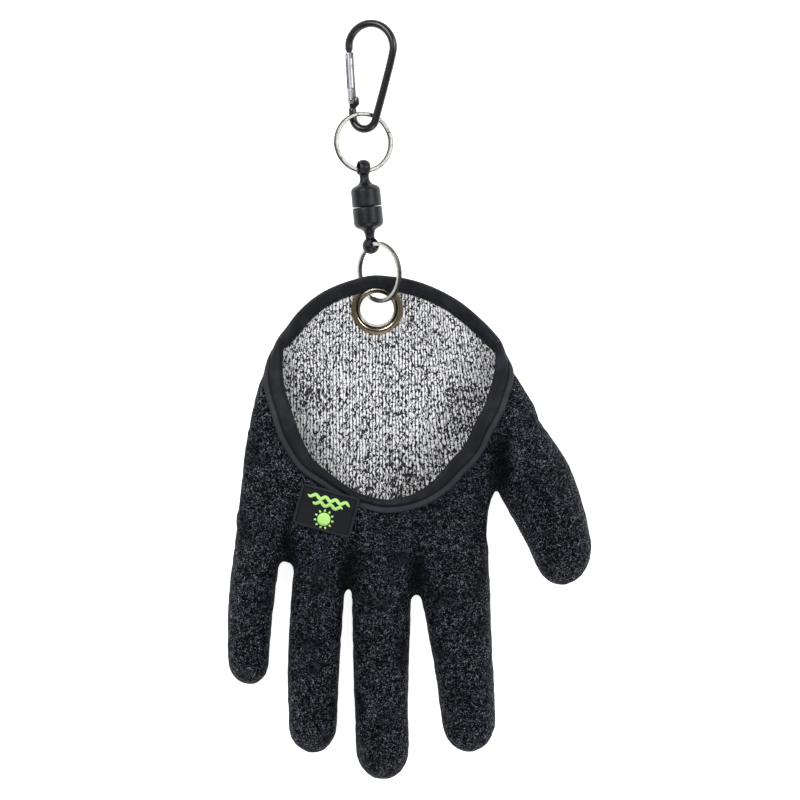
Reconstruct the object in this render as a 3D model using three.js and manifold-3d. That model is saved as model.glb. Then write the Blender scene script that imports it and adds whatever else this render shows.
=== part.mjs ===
// A coated fishing glove lying on a flat surface, palm down and fingers towards -Y, with the magnetic
// retainer that is clipped to its cuff. Millimetres, +Z up. X runs across the palm, thumb side at +X.
import * as THREE from "three";
import { mergeVertices } from "three/addons/utils/BufferGeometryUtils.js";
import Module from "manifold-3d";

const wasm = await Module();
wasm.setup();

// Driving dimensions, in millimetres and degrees.
const clearance = 0.3; // between pieces that touch on the real glove
const coatWall = 1.0; // rubber-coated outer shell
const linerWall = 0.9; // knitted inner glove
const tapeWall = 0.7; // folded edge tape
const tapeGap = 0.5; // between the tape and the walls inside its fold
const tapeOuterLeg = 7.6; // how far the tape reaches down the outside
const tapeInnerLeg = 4.4; // and down the inside
const palm = { length: 139.7, halfWidth: 56.5, thickness: 30, centreX: -18, knuckleY: -85.8 };
const sectionPower = { high: 2.3, low: 3 }; // roundness of a palm section above and below its widest line
const label = { width: 26.2, depth: 18.5, thickness: 1.4, rim: 1.2, rimRise: 0.6, turn: -15.5 };
const labelCorner = { across: -0.525, along: 0.3575 }; // its upper left corner on the back of the palm
const digitSize = { length: 103.2, width: 24.8, height: 20.5 }; // the middle finger's
const grommet = { x: -15.4, fromEnd: 13.3, underside: 5, tilt: 13, hole: 7.4, sheet: 0.5 };
const grommetRoll = 9.8; // outer radius of the rolled lip
const washer = { radius: 11.5, teeth: 24, toothDepth: 0.5 };
const flatRadius = 16; // the flap is pressed flat this far from the grommet's centre
const fadeRadius = 30; // and is free again from here
const ring = { outer: 13.5, radial: 1.8, axial: 1.9 };
const lowerRing = { aside: 1, beyond: 15.6, up: 5.2, tilt: -46, pitch: 7, slack: 0.75, drift: 1.15 };
const upperRing = { up: 5.4, tilt: 18, pitch: -4, slack: 1.25 };
const clip = { radius: 6.5, bodyHalf: 9, neck: 2, ball: 3.7, ballHole: 2.5, reach: 17.2, lean: 5.4 };
const magnet = { radius: 4.4, thickness: 2 };
const pear = { wire: 3.5, topRadius: 10.7, lowRadius: 5.6, spacing: 30.4, roll: 23, lean: 6.1 };
const pearPlace = { aside: -4.7, beyond: 12.1 }; // its gate side from the upper ring's middle
const gate = { radius: 1.85, length: 22.6, slot: 1.8, pinUp: 1.6, slotAbovePin: 5, noseSlot: 2.4 };
const hingeUp = 6.6; // from the small bow's middle to the gate's pin
const shoulderDrop = 3; // from the pin down to the end of the wire
const pin = { radius: 0.5 };
const tongue = { reachIn: 3.3, reachUp: 1.4, reachOut: 1.2 };

const wallTotal = coatWall + clearance + linerWall;
const radians = THREE.MathUtils.degToRad;
const grommetY = palm.knuckleY + palm.length - grommet.fromEnd;

// Sections of the palm and cuff from the knuckles to the end of the flap. along is a share of the
// palm's length, left and right are shares of its half width, and low, mid and high of its thickness.
const palmRows = [
  { along: 0.0, left: -0.05, right: 0.42, low: 0.16, mid: 0.33, high: 0.5 },
  { along: 0.022, left: -0.2, right: 0.63, low: 0.07, mid: 0.35, high: 0.62 },
  { along: 0.057, left: -0.4, right: 0.8, low: 0.0, mid: 0.37, high: 0.68 },
  { along: 0.101, left: -0.65, right: 0.89, low: -0.02, mid: 0.39, high: 0.73 },
  { along: 0.142, left: -0.92, right: 0.9, low: -0.03, mid: 0.4, high: 0.76 },
  { along: 0.205, left: -1.04, right: 0.9, low: -0.03, mid: 0.42, high: 0.79 },
  { along: 0.299, left: -1.02, right: 0.93, low: -0.03, mid: 0.44, high: 0.84 },
  { along: 0.394, left: -1.0, right: 1.06, low: -0.03, mid: 0.46, high: 0.88 },
  { along: 0.488, left: -0.97, right: 1.29, low: -0.03, mid: 0.47, high: 0.9 },
  { along: 0.583, left: -0.92, right: 1.28, low: -0.03, mid: 0.48, high: 0.9 },
  { along: 0.661, left: -0.87, right: 1.17, low: -0.02, mid: 0.45, high: 0.82 },
  { along: 0.74, left: -0.79, right: 1.055, low: 0.0, mid: 0.41, high: 0.72 },
  { along: 0.819, left: -0.7, right: 0.985, low: 0.06, mid: 0.37, high: 0.64 },
  { along: 0.898, left: -0.64, right: 0.96, low: 0.15, mid: 0.36, high: 0.6 },
  { along: 1.0, left: -0.6, right: 0.94, low: 0.24, mid: 0.36, high: 0.6 },
];

// The rim in plan, round the opening from the middle of the flap: side 1 is the back of the hand, which
// is cut low in a V, and side -1 the palm side, which runs up as the flap. tape is the share of the
// tape's outer leg that lies on the outside there.
const rimRows = [
  { side: -1, across: 0.054, along: 1.0, tape: 0.8 },
  { side: -1, across: 0.3, along: 0.987, tape: 0.8 },
  { side: -1, across: 0.646, along: 0.928, tape: 0.8 },
  { side: -1, across: 0.833, along: 0.869, tape: 0.8 },
  { side: -1, across: 0.957, along: 0.819, tape: 0.55 },
  { side: 1, across: 1.006, along: 0.769, tape: 0.6 },
  { side: 1, across: 0.981, along: 0.696, tape: 0.85 },
  { side: 1, across: 0.918, along: 0.611, tape: 1.0 },
  { side: 1, across: 0.802, along: 0.517, tape: 1.0 },
  { side: 1, across: 0.677, along: 0.435, tape: 0.95 },
  { side: 1, across: 0.545, along: 0.372, tape: 0.85 },
  { side: 1, across: 0.389, along: 0.321, tape: 0.7 },
  { side: 1, across: 0.148, along: 0.293, tape: 0.6 },
  { side: 1, across: -0.023, along: 0.304, tape: 0.6 },
  { side: 1, across: -0.35, along: 0.383, tape: 0.7 },
  { side: 1, across: -0.482, along: 0.432, tape: 0.85 },
  { side: 1, across: -0.576, along: 0.507, tape: 1.0 },
  { side: 1, across: -0.654, along: 0.598, tape: 1.0 },
  { side: 1, across: -0.708, along: 0.677, tape: 0.9 },
  { side: 1, across: -0.716, along: 0.765, tape: 0.65 },
  { side: -1, across: -0.655, along: 0.828, tape: 0.55 },
  { side: -1, across: -0.381, along: 0.937, tape: 0.8 },
  { side: -1, across: -0.163, along: 0.983, tape: 0.8 },
];

// Each digit: where its root lies on the palm, the way it points (0 is -Y, positive towards the thumb
// side) and its sideways bow as a share of its length. length, the widths root, mid and tip, and height
// are shares of the middle finger's.
const digitRows = [
  {
    across: -0.86, along: 0.2, heading: -4.8, bow: -0.022,
    length: 0.654, root: 0.847, mid: 0.815, tip: 0.718, height: 0.927,
  },
  {
    across: -0.374, along: 0.173, heading: -2.8, bow: -0.016,
    length: 0.909, root: 0.952, mid: 0.927, tip: 0.855, height: 0.976,
  },
  {
    across: 0.086, along: 0.157, heading: 0.2, bow: -0.005,
    length: 1, root: 1.113, mid: 1, tip: 0.927, height: 1,
  },
  {
    across: 0.61, along: 0.157, heading: 6.1, bow: 0.006,
    length: 0.886, root: 1.371, mid: 1.113, tip: 0.952, height: 1,
  },
  {
    across: 1.05, along: 0.52, heading: 23, bow: 0.045,
    length: 0.71, root: 1.17, mid: 1.33, tip: 1.08, height: 1.05,
  },
];
const digitSection = { power: 2.4, mid: 0.45, sunk: 0.02, rootRise: 0.12, domeShare: 0.62 };

const columns = 44; // points round the palm and the rim
const palmSteps = [0, 0.05, 0.13, 0.26, 0.43, 0.61, 0.79, 0.92, 1];
const linerStart = 3; // the palm step where the liner begins
const digitSides = 12;

const between = THREE.MathUtils.lerp;
const smooth = THREE.MathUtils.smoothstep;
const power = (value, exponent) => Math.sign(value) * Math.abs(value) ** exponent;

// A smooth table: the named columns of rows, read at any value of the key column.
function table(rows, key, names) {
  const at = new Float32Array(rows.map((row) => row[key]));
  const values = new Float32Array(rows.flatMap((row) => names.map((name) => row[name])));
  const spline = new THREE.CubicInterpolant(at, values, names.length);
  return (where) => {
    const kept = THREE.MathUtils.clamp(where, at[0], at[at.length - 1]);
    const result = spline.evaluate(kept);
    return Object.fromEntries(names.map((name, i) => [name, result[i]]));
  };
}

// The two triangles of a four-sided patch, split along a diagonal that turned swaps.
function patch(a, b, c, d, turned) {
  return turned ? [b, c, d, b, d, a] : [a, b, c, a, c, d];
}

// A solid from rings of points: neighbouring rings are joined, and both ends close on their middle.
// Where a skin folds back, its patches are split the other way, so both faces of a wall match.
function skin(rings, fold = rings.length) {
  const middle = (points) => {
    const sum = points.reduce((total, p) => total.add(p), new THREE.Vector3());
    return sum.divideScalar(points.length);
  };
  const count = rings[0].length;
  const points = [...rings.flat(), middle(rings[0]), middle(rings[rings.length - 1])];
  const triangles = [];
  for (let i = 0; i < count; i++) {
    const next = (i + 1) % count;
    for (let row = 0; row + 1 < rings.length; row++) {
      const [a, b] = [row * count + i, row * count + next];
      triangles.push(...patch(a, b, b + count, a + count, row >= fold));
    }
    const last = (rings.length - 1) * count;
    triangles.push(points.length - 2, next, i, points.length - 1, last + i, last + next);
  }
  return solidOf(points.flatMap((p) => [p.x, p.y, p.z]), triangles);
}

// A manifold solid that always faces outwards.
function solidOf(coordinates, triangles) {
  const make = (faces) =>
    new wasm.Manifold(
      new wasm.Mesh({
        numProp: 3,
        vertProperties: new Float32Array(coordinates),
        triVerts: new Uint32Array(faces),
      }),
    );
  const made = make(triangles);
  if (made.volume() > 0) return made;
  const turned = triangles.map((_, i) => triangles[i - (i % 3) + (2 - (i % 3))]);
  return make(turned);
}

// A three.js geometry, moved by a matrix, as a manifold solid.
function solidFrom(geometry, matrix = new THREE.Matrix4()) {
  const bare = new THREE.BufferGeometry();
  bare.setAttribute("position", geometry.getAttribute("position").clone());
  if (geometry.index) bare.setIndex(geometry.index.clone());
  bare.applyMatrix4(matrix);
  const merged = mergeVertices(bare, 1e-4);
  return solidOf(Array.from(merged.attributes.position.array), Array.from(merged.index.array));
}

function geometryOf(solid) {
  const mesh = solid.getMesh();
  const geometry = new THREE.BufferGeometry();
  geometry.setAttribute("position", new THREE.BufferAttribute(mesh.vertProperties, 3));
  geometry.setIndex(new THREE.BufferAttribute(mesh.triVerts, 1));
  return geometry;
}

// The outside of the palm. turn goes round a section from +X over the back of the hand.
const palmTable = table(palmRows, "along", ["left", "right", "low", "mid", "high"]);
const grommetSlope = Math.tan(radians(grommet.tilt));

function palmPoint(turn, along) {
  const row = palmTable(along);
  const [c, s] = [Math.cos(turn), Math.sin(turn)];
  const exponent = 2 / (s > 0 ? sectionPower.high : sectionPower.low);
  const middle = palm.centreX + (palm.halfWidth * (row.left + row.right)) / 2;
  const x = middle + ((palm.halfWidth * (row.right - row.left)) / 2) * power(c, exponent);
  const y = palm.knuckleY + palm.length * along;
  const reach = palm.thickness * (s > 0 ? row.high - row.mid : row.mid - row.low);
  let z = palm.thickness * row.mid + reach * power(s, exponent);
  if (s < 0) {
    const pressed = 1 - smooth(Math.hypot(x - grommet.x, y - grommetY), flatRadius, fadeRadius);
    z = between(z, grommet.underside + grommetSlope * (y - grommetY), pressed);
  }
  return new THREE.Vector3(x, y, Math.max(z, 0));
}

// Directions on the palm: round the section, along the palm, and out of the surface.
function palmFrame(turn, along) {
  const step = 0.01;
  const slope = (da, db) =>
    palmPoint(turn + da, Math.min(along + db, 1)).sub(palmPoint(turn - da, Math.max(along - db, 0)));
  const span = Math.min(along + step, 1) - Math.max(along - step, 0);
  const round = slope(step, 0).divideScalar(2 * step);
  const length = slope(0, step).divideScalar(span);
  return { round, length, out: length.clone().cross(round).normalize() };
}

function palmOffset(turn, along, out) {
  return palmPoint(turn, along).addScaledVector(palmFrame(turn, along).out, out);
}

// The turn at which the palm's section at a place along it has a given x.
function turnAt(across, along, side) {
  const row = palmTable(along);
  const share = (2 * across - row.left - row.right) / (row.right - row.left);
  const exponent = (side > 0 ? sectionPower.high : sectionPower.low) / 2;
  const angle = Math.acos(THREE.MathUtils.clamp(power(share, exponent), -1, 1));
  return side > 0 ? angle : -angle;
}

// The rim as a curve in turn and along, evenly spaced round the opening.
const girthPerRadian = palm.halfWidth;
const rimPoints = rimRows.map((row, i) => {
  const turn = turnAt(row.across, row.along, row.side);
  const wrapped = row.side < 0 && i > rimRows.length / 2 ? turn + 2 * Math.PI : turn;
  return new THREE.Vector3(wrapped * girthPerRadian, row.along * palm.length, row.tape);
});
const rimEnd = rimPoints[0].clone();
rimEnd.x += 2 * Math.PI * girthPerRadian;
const rimCurve = new THREE.CatmullRomCurve3([...rimPoints, rimEnd], false, "centripetal");

const rimPlaces = rimCurve
  .getSpacedPoints(columns)
  .slice(0, columns)
  .map((p) => ({ turn: p.x / girthPerRadian, along: p.y / palm.length, tape: p.z }));

// Rings of the palm at a depth below its outside, from the knuckles to the rim.
function palmRings(inset) {
  const start = rimPlaces[0].turn;
  return palmSteps.map((share) =>
    rimPlaces.map((place, i) => {
      const even = start + (2 * Math.PI * i) / columns;
      return palmOffset(between(even, place.turn, share), place.along * share, -inset);
    }),
  );
}

// A digit at a depth below its outside: sections across its centre line, closed by a dome at the tip.
function digit(row, inset) {
  const [size, full] = [digitSize.width, digitSize.length * row.length];
  const widths = table(
    [
      { at: 0, width: size * row.root },
      { at: 0.5, width: size * row.mid },
      { at: 1, width: size * row.tip },
    ],
    "at",
    ["width"],
  );
  const heading = radians(row.heading);
  const ahead = new THREE.Vector3(Math.sin(heading), -Math.cos(heading), 0);
  const aside = new THREE.Vector3(Math.cos(heading), Math.sin(heading), 0);
  const rootX = palm.centreX + palm.halfWidth * row.across;
  const root = new THREE.Vector3(rootX, palm.knuckleY + palm.length * row.along, 0);
  const dome = digitSection.domeShare * size * row.tip;
  const barrel = full - dome;
  const stations = [0, 0.35, 0.7].map((share) => ({ distance: barrel * share, swell: 1 }));
  for (const angle of [0, 32, 58, 80]) {
    const distance = barrel + (dome - inset) * Math.sin(radians(angle));
    stations.push({ distance, swell: Math.cos(radians(angle)) });
  }
  const rings = stations.map(({ distance, swell }) => {
    const share = distance / full;
    const bow = row.bow * full * 4 * share * (1 - share);
    const centre = root.clone().addScaledVector(ahead, distance).addScaledVector(aside, bow);
    const half = (widths(Math.min(distance / barrel, 1)).width / 2 - inset) * swell;
    const height = digitSize.height * row.height * (1 + digitSection.rootRise * (1 - share));
    const mid = height * digitSection.mid;
    const rise = (height - mid - inset) * swell;
    const fall = (mid + height * digitSection.sunk - inset) * swell;
    return Array.from({ length: digitSides }, (_, i) => {
      const turn = (2 * Math.PI * i) / digitSides;
      const across = half * power(Math.cos(turn), 2 / digitSection.power);
      const up = power(Math.sin(turn), 2 / digitSection.power);
      const point = centre.clone().addScaledVector(aside, across);
      point.z = Math.max(mid + (up > 0 ? rise : fall) * up, inset);
      return point;
    });
  });
  return skin(rings);
}

const digitsAt = (inset) =>
  digitRows.map((row) => digit(row, inset)).reduce((all, tube) => all.add(tube));

// The grommet's frame: its origin is on the flap's underside, and Z comes out of the face that shows.
const grommetMatrix = new THREE.Matrix4().makeRotationX(radians(grommet.tilt));
grommetMatrix.setPosition(grommet.x, grommetY, grommet.underside);
const barrelRadius = grommet.hole + grommet.sheet;
const backTop = -clearance;
const washerFoot = wallTotal + clearance;
const lipFoot = washerFoot + grommet.sheet + clearance;

const grommetHole = () => drill(barrelRadius + clearance, -10, 10);

function drill(radius, bottom, top, sides = 24) {
  const geometry = new THREE.CylinderGeometry(radius, radius, top - bottom, sides);
  geometry.rotateX(Math.PI / 2);
  geometry.translate(0, 0, (top + bottom) / 2);
  return solidFrom(geometry, grommetMatrix);
}

// The coat is hollow down to the finger tips.
function gloveCoat() {
  const sleeve = skin([...palmRings(coatWall), ...palmRings(0).reverse()], palmSteps.length);
  const tubes = digitsAt(0).subtract(skin(palmRings(coatWall / 2)));
  return sleeve.add(tubes).subtract(digitsAt(coatWall)).subtract(grommetHole());
}

// The liner is a sleeve from the knuckles to the rim, open at both ends.
function knitLiner() {
  const outside = palmRings(coatWall + clearance).slice(linerStart);
  const inside = palmRings(wallTotal).slice(linerStart).reverse();
  const walls = [...outside, ...inside];
  const strips = rimPlaces.map((_, i) => walls.map((ring) => ring[i]));
  return loop(strips, outside.length).subtract(grommetHole());
}

// The tape is folded round the rim: a U whose legs follow the outside and the inside of the walls. It
// rises over the grommet's flanges.
function cuffBinding() {
  const places = rimPlaces;
  const lift = (point) => {
    const distance = Math.hypot(point.x - grommet.x, point.y - grommetY);
    return (grommet.sheet + clearance) * (1 - smooth(distance, washer.radius + 1, washer.radius + 6));
  };
  const rings = places.map((place, i) => {
    const ahead = places[(i + 1) % places.length];
    const behind = places[(i + places.length - 1) % places.length];
    const edge = palmPoint(place.turn, place.along);
    const { round, length, out } = palmFrame(place.turn, place.along);
    const tangent = palmPoint(ahead.turn, ahead.along).sub(palmPoint(behind.turn, behind.along));
    const inward = out.clone().cross(tangent).normalize();
    // inward in steps of turn and along
    const [rr, rl, ll] = [round.dot(round), round.dot(length), length.dot(length)];
    const [dr, dl] = [inward.dot(round), inward.dot(length)];
    const across = (dr * ll - dl * rl) / (rr * ll - rl * rl);
    const along = (dl * rr - dr * rl) / (rr * ll - rl * rl);
    const onWall = (depth, height) => {
      const turn = place.turn + across * depth;
      const reach = place.along + along * depth;
      const side = height > 0 ? 1 : -1;
      const point = palmPoint(turn, reach);
      return point.addScaledVector(palmFrame(turn, reach).out, height + side * lift(point));
    };
    const offEdge = (beyond, height) =>
      edge.clone().addScaledVector(inward, -beyond).addScaledVector(out, height);
    const outerLeg = tapeOuterLeg * place.tape;
    const top = tapeGap + tapeWall;
    const foot = -wallTotal - tapeGap;
    return [
      onWall(outerLeg, tapeGap),
      onWall(outerLeg, top),
      onWall(outerLeg / 2, top),
      onWall(0, top),
      offEdge(top, -wallTotal * 0.15),
      offEdge(top, -wallTotal * 0.85),
      onWall(0, foot - tapeWall),
      onWall(tapeInnerLeg / 2, foot - tapeWall),
      onWall(tapeInnerLeg, foot - tapeWall),
      onWall(tapeInnerLeg, foot),
      onWall(tapeInnerLeg / 2, foot),
      offEdge(tapeGap, foot),
      offEdge(tapeGap, tapeGap),
      onWall(outerLeg / 2, tapeGap),
    ];
  });
  const within = palmRings(wallTotal + clearance);
  const walls = skin([...within, ...palmRings(-clearance).reverse()], within.length);
  return loop(rings).subtract(walls).subtract(drill(grommetRoll + clearance, wallTotal, 12, 32));
}

// A closed ring of sections. Each section's points fold back in the same way as a skin's rings.
function loop(rings, fold = rings[0].length) {
  const count = rings[0].length;
  const triangles = [];
  rings.forEach((_, row) => {
    const after = ((row + 1) % rings.length) * count;
    for (let i = 0; i < count; i++) {
      const next = (i + 1) % count;
      const [a, b] = [row * count + i, row * count + next];
      triangles.push(...patch(a, b, after + next, after + i, i >= fold));
    }
  });
  return solidOf(rings.flat().flatMap((p) => [p.x, p.y, p.z]), triangles);
}

// The moulded label follows the back of the palm, with its upper edge over the tape. Its face is sunk
// inside a raised rim.
function rubberLabel() {
  const turn = radians(label.turn);
  const cornerX = palm.centreX + palm.halfWidth * labelCorner.across;
  const cornerY = palm.knuckleY + palm.length * labelCorner.along;
  const at = (a, b, height) => {
    const x = cornerX + a * Math.cos(turn) + b * Math.sin(turn);
    const y = cornerY + a * Math.sin(turn) - b * Math.cos(turn);
    const along = (y - palm.knuckleY) / palm.length;
    const around = turnAt((x - palm.centreX) / palm.halfWidth, along, 1);
    return palmOffset(around, along, height);
  };
  const stations = (size, shares) => {
    const inner = shares.map((share) => between(label.rim + 0.2, size - label.rim - 0.2, share));
    return [0, label.rim, ...inner, size - label.rim, size];
  };
  const across = stations(label.width, [0, 0.5, 1]);
  const down = stations(label.depth, [0, 0.25, 0.5, 1]);
  const overTape = (b) => (tapeGap + tapeWall) * (1 - smooth(b, label.depth * 0.27, label.depth * 0.48));
  const rows = down.map((b, j) =>
    across.map((a, i) => {
      const onRim = Math.min(i, j, across.length - 1 - i, down.length - 1 - j) < 2;
      const face = clearance + overTape(b) + label.thickness;
      return at(a, b, onRim ? face : face - label.rimRise);
    }),
  );
  const back = down.map((b) => across.map((a) => at(a, b, clearance + overTape(b))));
  const wide = across.length;
  const points = [...rows.flat(), ...back.flat()];
  const offset = rows.length * wide;
  const triangles = [];
  const quad = (a, b, c, d) => triangles.push(a, b, c, a, c, d);
  for (let j = 0; j + 1 < rows.length; j++)
    for (let i = 0; i + 1 < wide; i++) {
      const a = j * wide + i;
      quad(a, a + wide, a + wide + 1, a + 1);
      quad(offset + a, offset + a + 1, offset + a + wide + 1, offset + a + wide);
    }
  const edge = [];
  for (let i = 0; i + 1 < wide; i++) edge.push(i);
  for (let j = 0; j + 1 < rows.length; j++) edge.push(j * wide + wide - 1);
  for (let i = wide - 1; i > 0; i--) edge.push((rows.length - 1) * wide + i);
  for (let j = rows.length - 1; j > 0; j--) edge.push(j * wide);
  edge.forEach((a, k) => {
    const b = edge[(k + 1) % edge.length];
    quad(a, b, b + offset, a + offset);
  });
  return solidOf(points.flatMap((p) => [p.x, p.y, p.z]), triangles);
}

// A turned piece: its profile is a list of radius and height, about Z.
function turned(profile, sides, matrix) {
  const geometry = new THREE.LatheGeometry(profile.map(([r, h]) => new THREE.Vector2(r, h)), sides);
  geometry.rotateX(Math.PI / 2);
  return solidFrom(geometry, matrix);
}

function grommetEyelet() {
  const [inside, outside] = [grommet.hole, barrelRadius];
  const foot = backTop - grommet.sheet;
  const lip = lipFoot + 2 * grommet.sheet;
  const groove = (inside + grommetRoll) / 2;
  const profile = [
    [inside, foot + 0.3],
    [inside + 0.4, foot],
    [washer.radius - 1, foot],
    [washer.radius - 0.5, backTop],
    [outside, backTop],
    [outside, lipFoot],
    [grommetRoll, lipFoot],
    [grommetRoll, lip - 0.5],
    [grommetRoll - 0.4, lip],
    [groove + 0.5, lip],
    [groove, lip - 0.5],
    [groove - 0.4, lip - 0.1],
    [inside + 0.3, lip - 0.1],
    [inside, lip - 0.5],
    [inside, foot + 0.3],
  ];
  return turned(profile, 24, grommetMatrix);
}

// The washer's rim is cut into teeth, which an extruded outline holds.
function grommetWasher() {
  const outline = [];
  for (let i = 0; i < 2 * washer.teeth; i++) {
    const radius = washer.radius - (i % 2 ? washer.toothDepth : 0);
    const turn = (Math.PI * i) / washer.teeth;
    outline.push(new THREE.Vector2(radius * Math.cos(turn), radius * Math.sin(turn)));
  }
  const shape = new THREE.Shape(outline);
  const bore = Array.from({ length: 24 }, (_, i) => {
    const turn = (-2 * Math.PI * i) / 24;
    const radius = barrelRadius + clearance;
    return new THREE.Vector2(radius * Math.cos(turn), radius * Math.sin(turn));
  });
  shape.holes.push(new THREE.Path(bore));
  const geometry = new THREE.ExtrudeGeometry(shape, { depth: grommet.sheet, bevelEnabled: false });
  geometry.translate(0, 0, washerFoot);
  return solidFrom(geometry, grommetMatrix);
}

// A split ring: two turns of flat wire that lie on each other, as one ring with a waist.
function splitRing(matrix) {
  const [out, inn] = [ring.outer, ring.outer - ring.radial];
  const half = ring.axial / 2;
  const bevel = ring.radial / 4;
  const profile = [
    [out - bevel, -half],
    [out, -half * 0.6],
    [out - bevel / 2, 0],
    [out, half * 0.6],
    [out - bevel, half],
    [inn + bevel, half],
    [inn, half * 0.5],
    [inn, -half * 0.5],
    [inn + bevel, -half],
    [out - bevel, -half],
  ];
  return turned(profile, 24, matrix);
}

const ringMid = ring.outer - ring.radial / 2;

// The lower ring stands through the grommet with its left side down and its right side over the flap.
// Its middle is measured from the grommet's.
const lowerRingMatrix = new THREE.Matrix4()
  .makeRotationX(radians(lowerRing.pitch))
  .multiply(new THREE.Matrix4().makeRotationY(radians(lowerRing.tilt)));
lowerRingMatrix.setPosition(
  grommet.x + lowerRing.aside,
  grommetY + lowerRing.beyond,
  grommet.underside + lowerRing.up,
);

// A place on a ring's wire, and the way that the wire runs there.
function onRing(matrix, turn) {
  const spoke = new THREE.Vector3(Math.cos(turn), Math.sin(turn), 0);
  const run = new THREE.Vector3(-Math.sin(turn), Math.cos(turn), 0).transformDirection(matrix);
  return { place: spoke.multiplyScalar(ringMid).applyMatrix4(matrix), run };
}

// The clip lies on the surface. The lower ring's far side passes its lower ball at that height, and
// pulls at the near side of the ball's hole.
const clipHeight = clip.radius;
const heightMiss = (hold) => Math.abs(hold.place.z - clipHeight);
const lowerHold = Array.from({ length: 181 }, (_, i) => onRing(lowerRingMatrix, radians(90 + i / 2)))
  .reduce((best, hold) => (heightMiss(hold) < heightMiss(best) ? hold : best));
lowerHold.place.z = clipHeight;
const clipAxis = new THREE.Vector3(-Math.sin(radians(clip.lean)), Math.cos(radians(clip.lean)), 0);
const lowerBall = lowerHold.place.clone().addScaledVector(clipAxis, lowerRing.slack);
lowerBall.x += lowerRing.drift;
const clipMiddle = lowerBall.clone().addScaledVector(clipAxis, clip.reach);
const upperBall = clipMiddle.clone().addScaledVector(clipAxis, clip.reach);

// The upper ring hangs in the upper ball's hole with some slack.
const upperRingMatrix = new THREE.Matrix4()
  .makeRotationX(radians(upperRing.pitch))
  .multiply(new THREE.Matrix4().makeRotationY(radians(upperRing.tilt)));
const upperRingCentre = new THREE.Vector3(upperBall.x, upperBall.y - upperRing.slack + ringMid, upperRing.up);
upperRingMatrix.setPosition(upperRingCentre);

// Half of the clip along +Z from the face where the halves meet. run is the way the ring's wire goes
// through the ball.
const clipProfile = [
  [0, clearance / 2],
  [clip.radius - 0.3, clearance / 2],
  [clip.radius, clearance / 2 + 0.4],
  [clip.radius, clip.bodyHalf - 1.6],
  [clip.radius - 0.5, clip.bodyHalf - 0.5],
  [clip.radius - 1.7, clip.bodyHalf + 0.2],
  [clip.neck + 1.5, clip.bodyHalf + 0.9],
  [clip.neck + 0.4, clip.bodyHalf + 2.2],
  [clip.neck, clip.bodyHalf + 3.6],
];
const ballStart = Math.PI - Math.asin(clip.neck / clip.ball) * 1.15;
const ballSteps = 6;
for (let i = 0; i <= ballSteps; i++) {
  const turn = ballStart * (1 - i / ballSteps);
  clipProfile.push([clip.ball * Math.sin(turn), clip.reach + clip.ball * Math.cos(turn)]);
}
clipProfile[clipProfile.length - 1][0] = 0;

function clipHalf(way, hold, run) {
  const matrix = new THREE.Matrix4();
  const outwards = clipAxis.clone().multiplyScalar(way);
  const turn = new THREE.Quaternion().setFromUnitVectors(new THREE.Vector3(0, 0, 1), outwards);
  matrix.compose(clipMiddle, turn, new THREE.Vector3(1, 1, 1));
  const bore = new THREE.CylinderGeometry(clip.ballHole, clip.ballHole, 4 * clip.ball, 14);
  const along = new THREE.Quaternion().setFromUnitVectors(new THREE.Vector3(0, 1, 0), run);
  const boreMatrix = new THREE.Matrix4().compose(hold, along, new THREE.Vector3(1, 1, 1));
  return { solid: turned(clipProfile, 16, matrix).subtract(solidFrom(bore, boreMatrix)), matrix };
}

const lowerHalf = clipHalf(-1, lowerBall, lowerHold.run);
const upperHoldRun = onRing(upperRingMatrix, -Math.PI / 2).run;
const upperHalf = clipHalf(1, upperBall, upperHoldRun);

// The magnet lies in a pocket in the lower half's face.
function disc(radius, bottom, top) {
  const geometry = new THREE.CylinderGeometry(radius, radius, top - bottom, 18);
  geometry.rotateX(Math.PI / 2);
  geometry.translate(0, 0, (bottom + top) / 2);
  return solidFrom(geometry, lowerHalf.matrix);
}
const magnetFace = clearance / 2;
const magnetSolid = disc(magnet.radius, magnetFace, magnetFace + magnet.thickness);
const pocketFloor = magnetFace + magnet.thickness + clearance;
const magnetPocket = disc(magnet.radius + clearance, magnetFace - 1, pocketFloor);

// The carabiner in its own plane: the origin is the middle of its small bow, and +Y runs to its large
// bow. The left side, where the gate is, lies on the surface, and the right side is raised.
const lowLeft = new THREE.Vector3(-pear.lowRadius, 0, 0);
const topLeft = new THREE.Vector3(-pear.topRadius, pear.spacing, 0);
const gateLine = topLeft.clone().sub(lowLeft).normalize();
const gateAcross = new THREE.Vector3(gateLine.y, -gateLine.x, 0);
const hinge = lowLeft.clone().addScaledVector(gateLine, hingeUp);
const gateFoot = hinge.clone().addScaledVector(gateLine, -gate.pinUp);
const gateHead = gateFoot.clone().addScaledVector(gateLine, gate.length);
const shoulder = hinge.clone().addScaledVector(gateLine, -shoulderDrop);
const noseEnd = gateHead.clone().addScaledVector(gateLine, clearance * 1.5);

// The ring passes the small bow between its top and its right side.
const pearMatrix = new THREE.Matrix4().makeRotationZ(-radians(pear.lean));
pearMatrix.multiply(new THREE.Matrix4().makeRotationAxis(gateLine, -radians(pear.roll)));
pearMatrix.multiply(new THREE.Matrix4().makeTranslation(-lowLeft.x, 0, 0));
pearMatrix.premultiply(
  new THREE.Matrix4().makeTranslation(
    upperRingCentre.x + pearPlace.aside,
    upperRingCentre.y + pearPlace.beyond,
    gate.radius,
  ),
);

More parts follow.
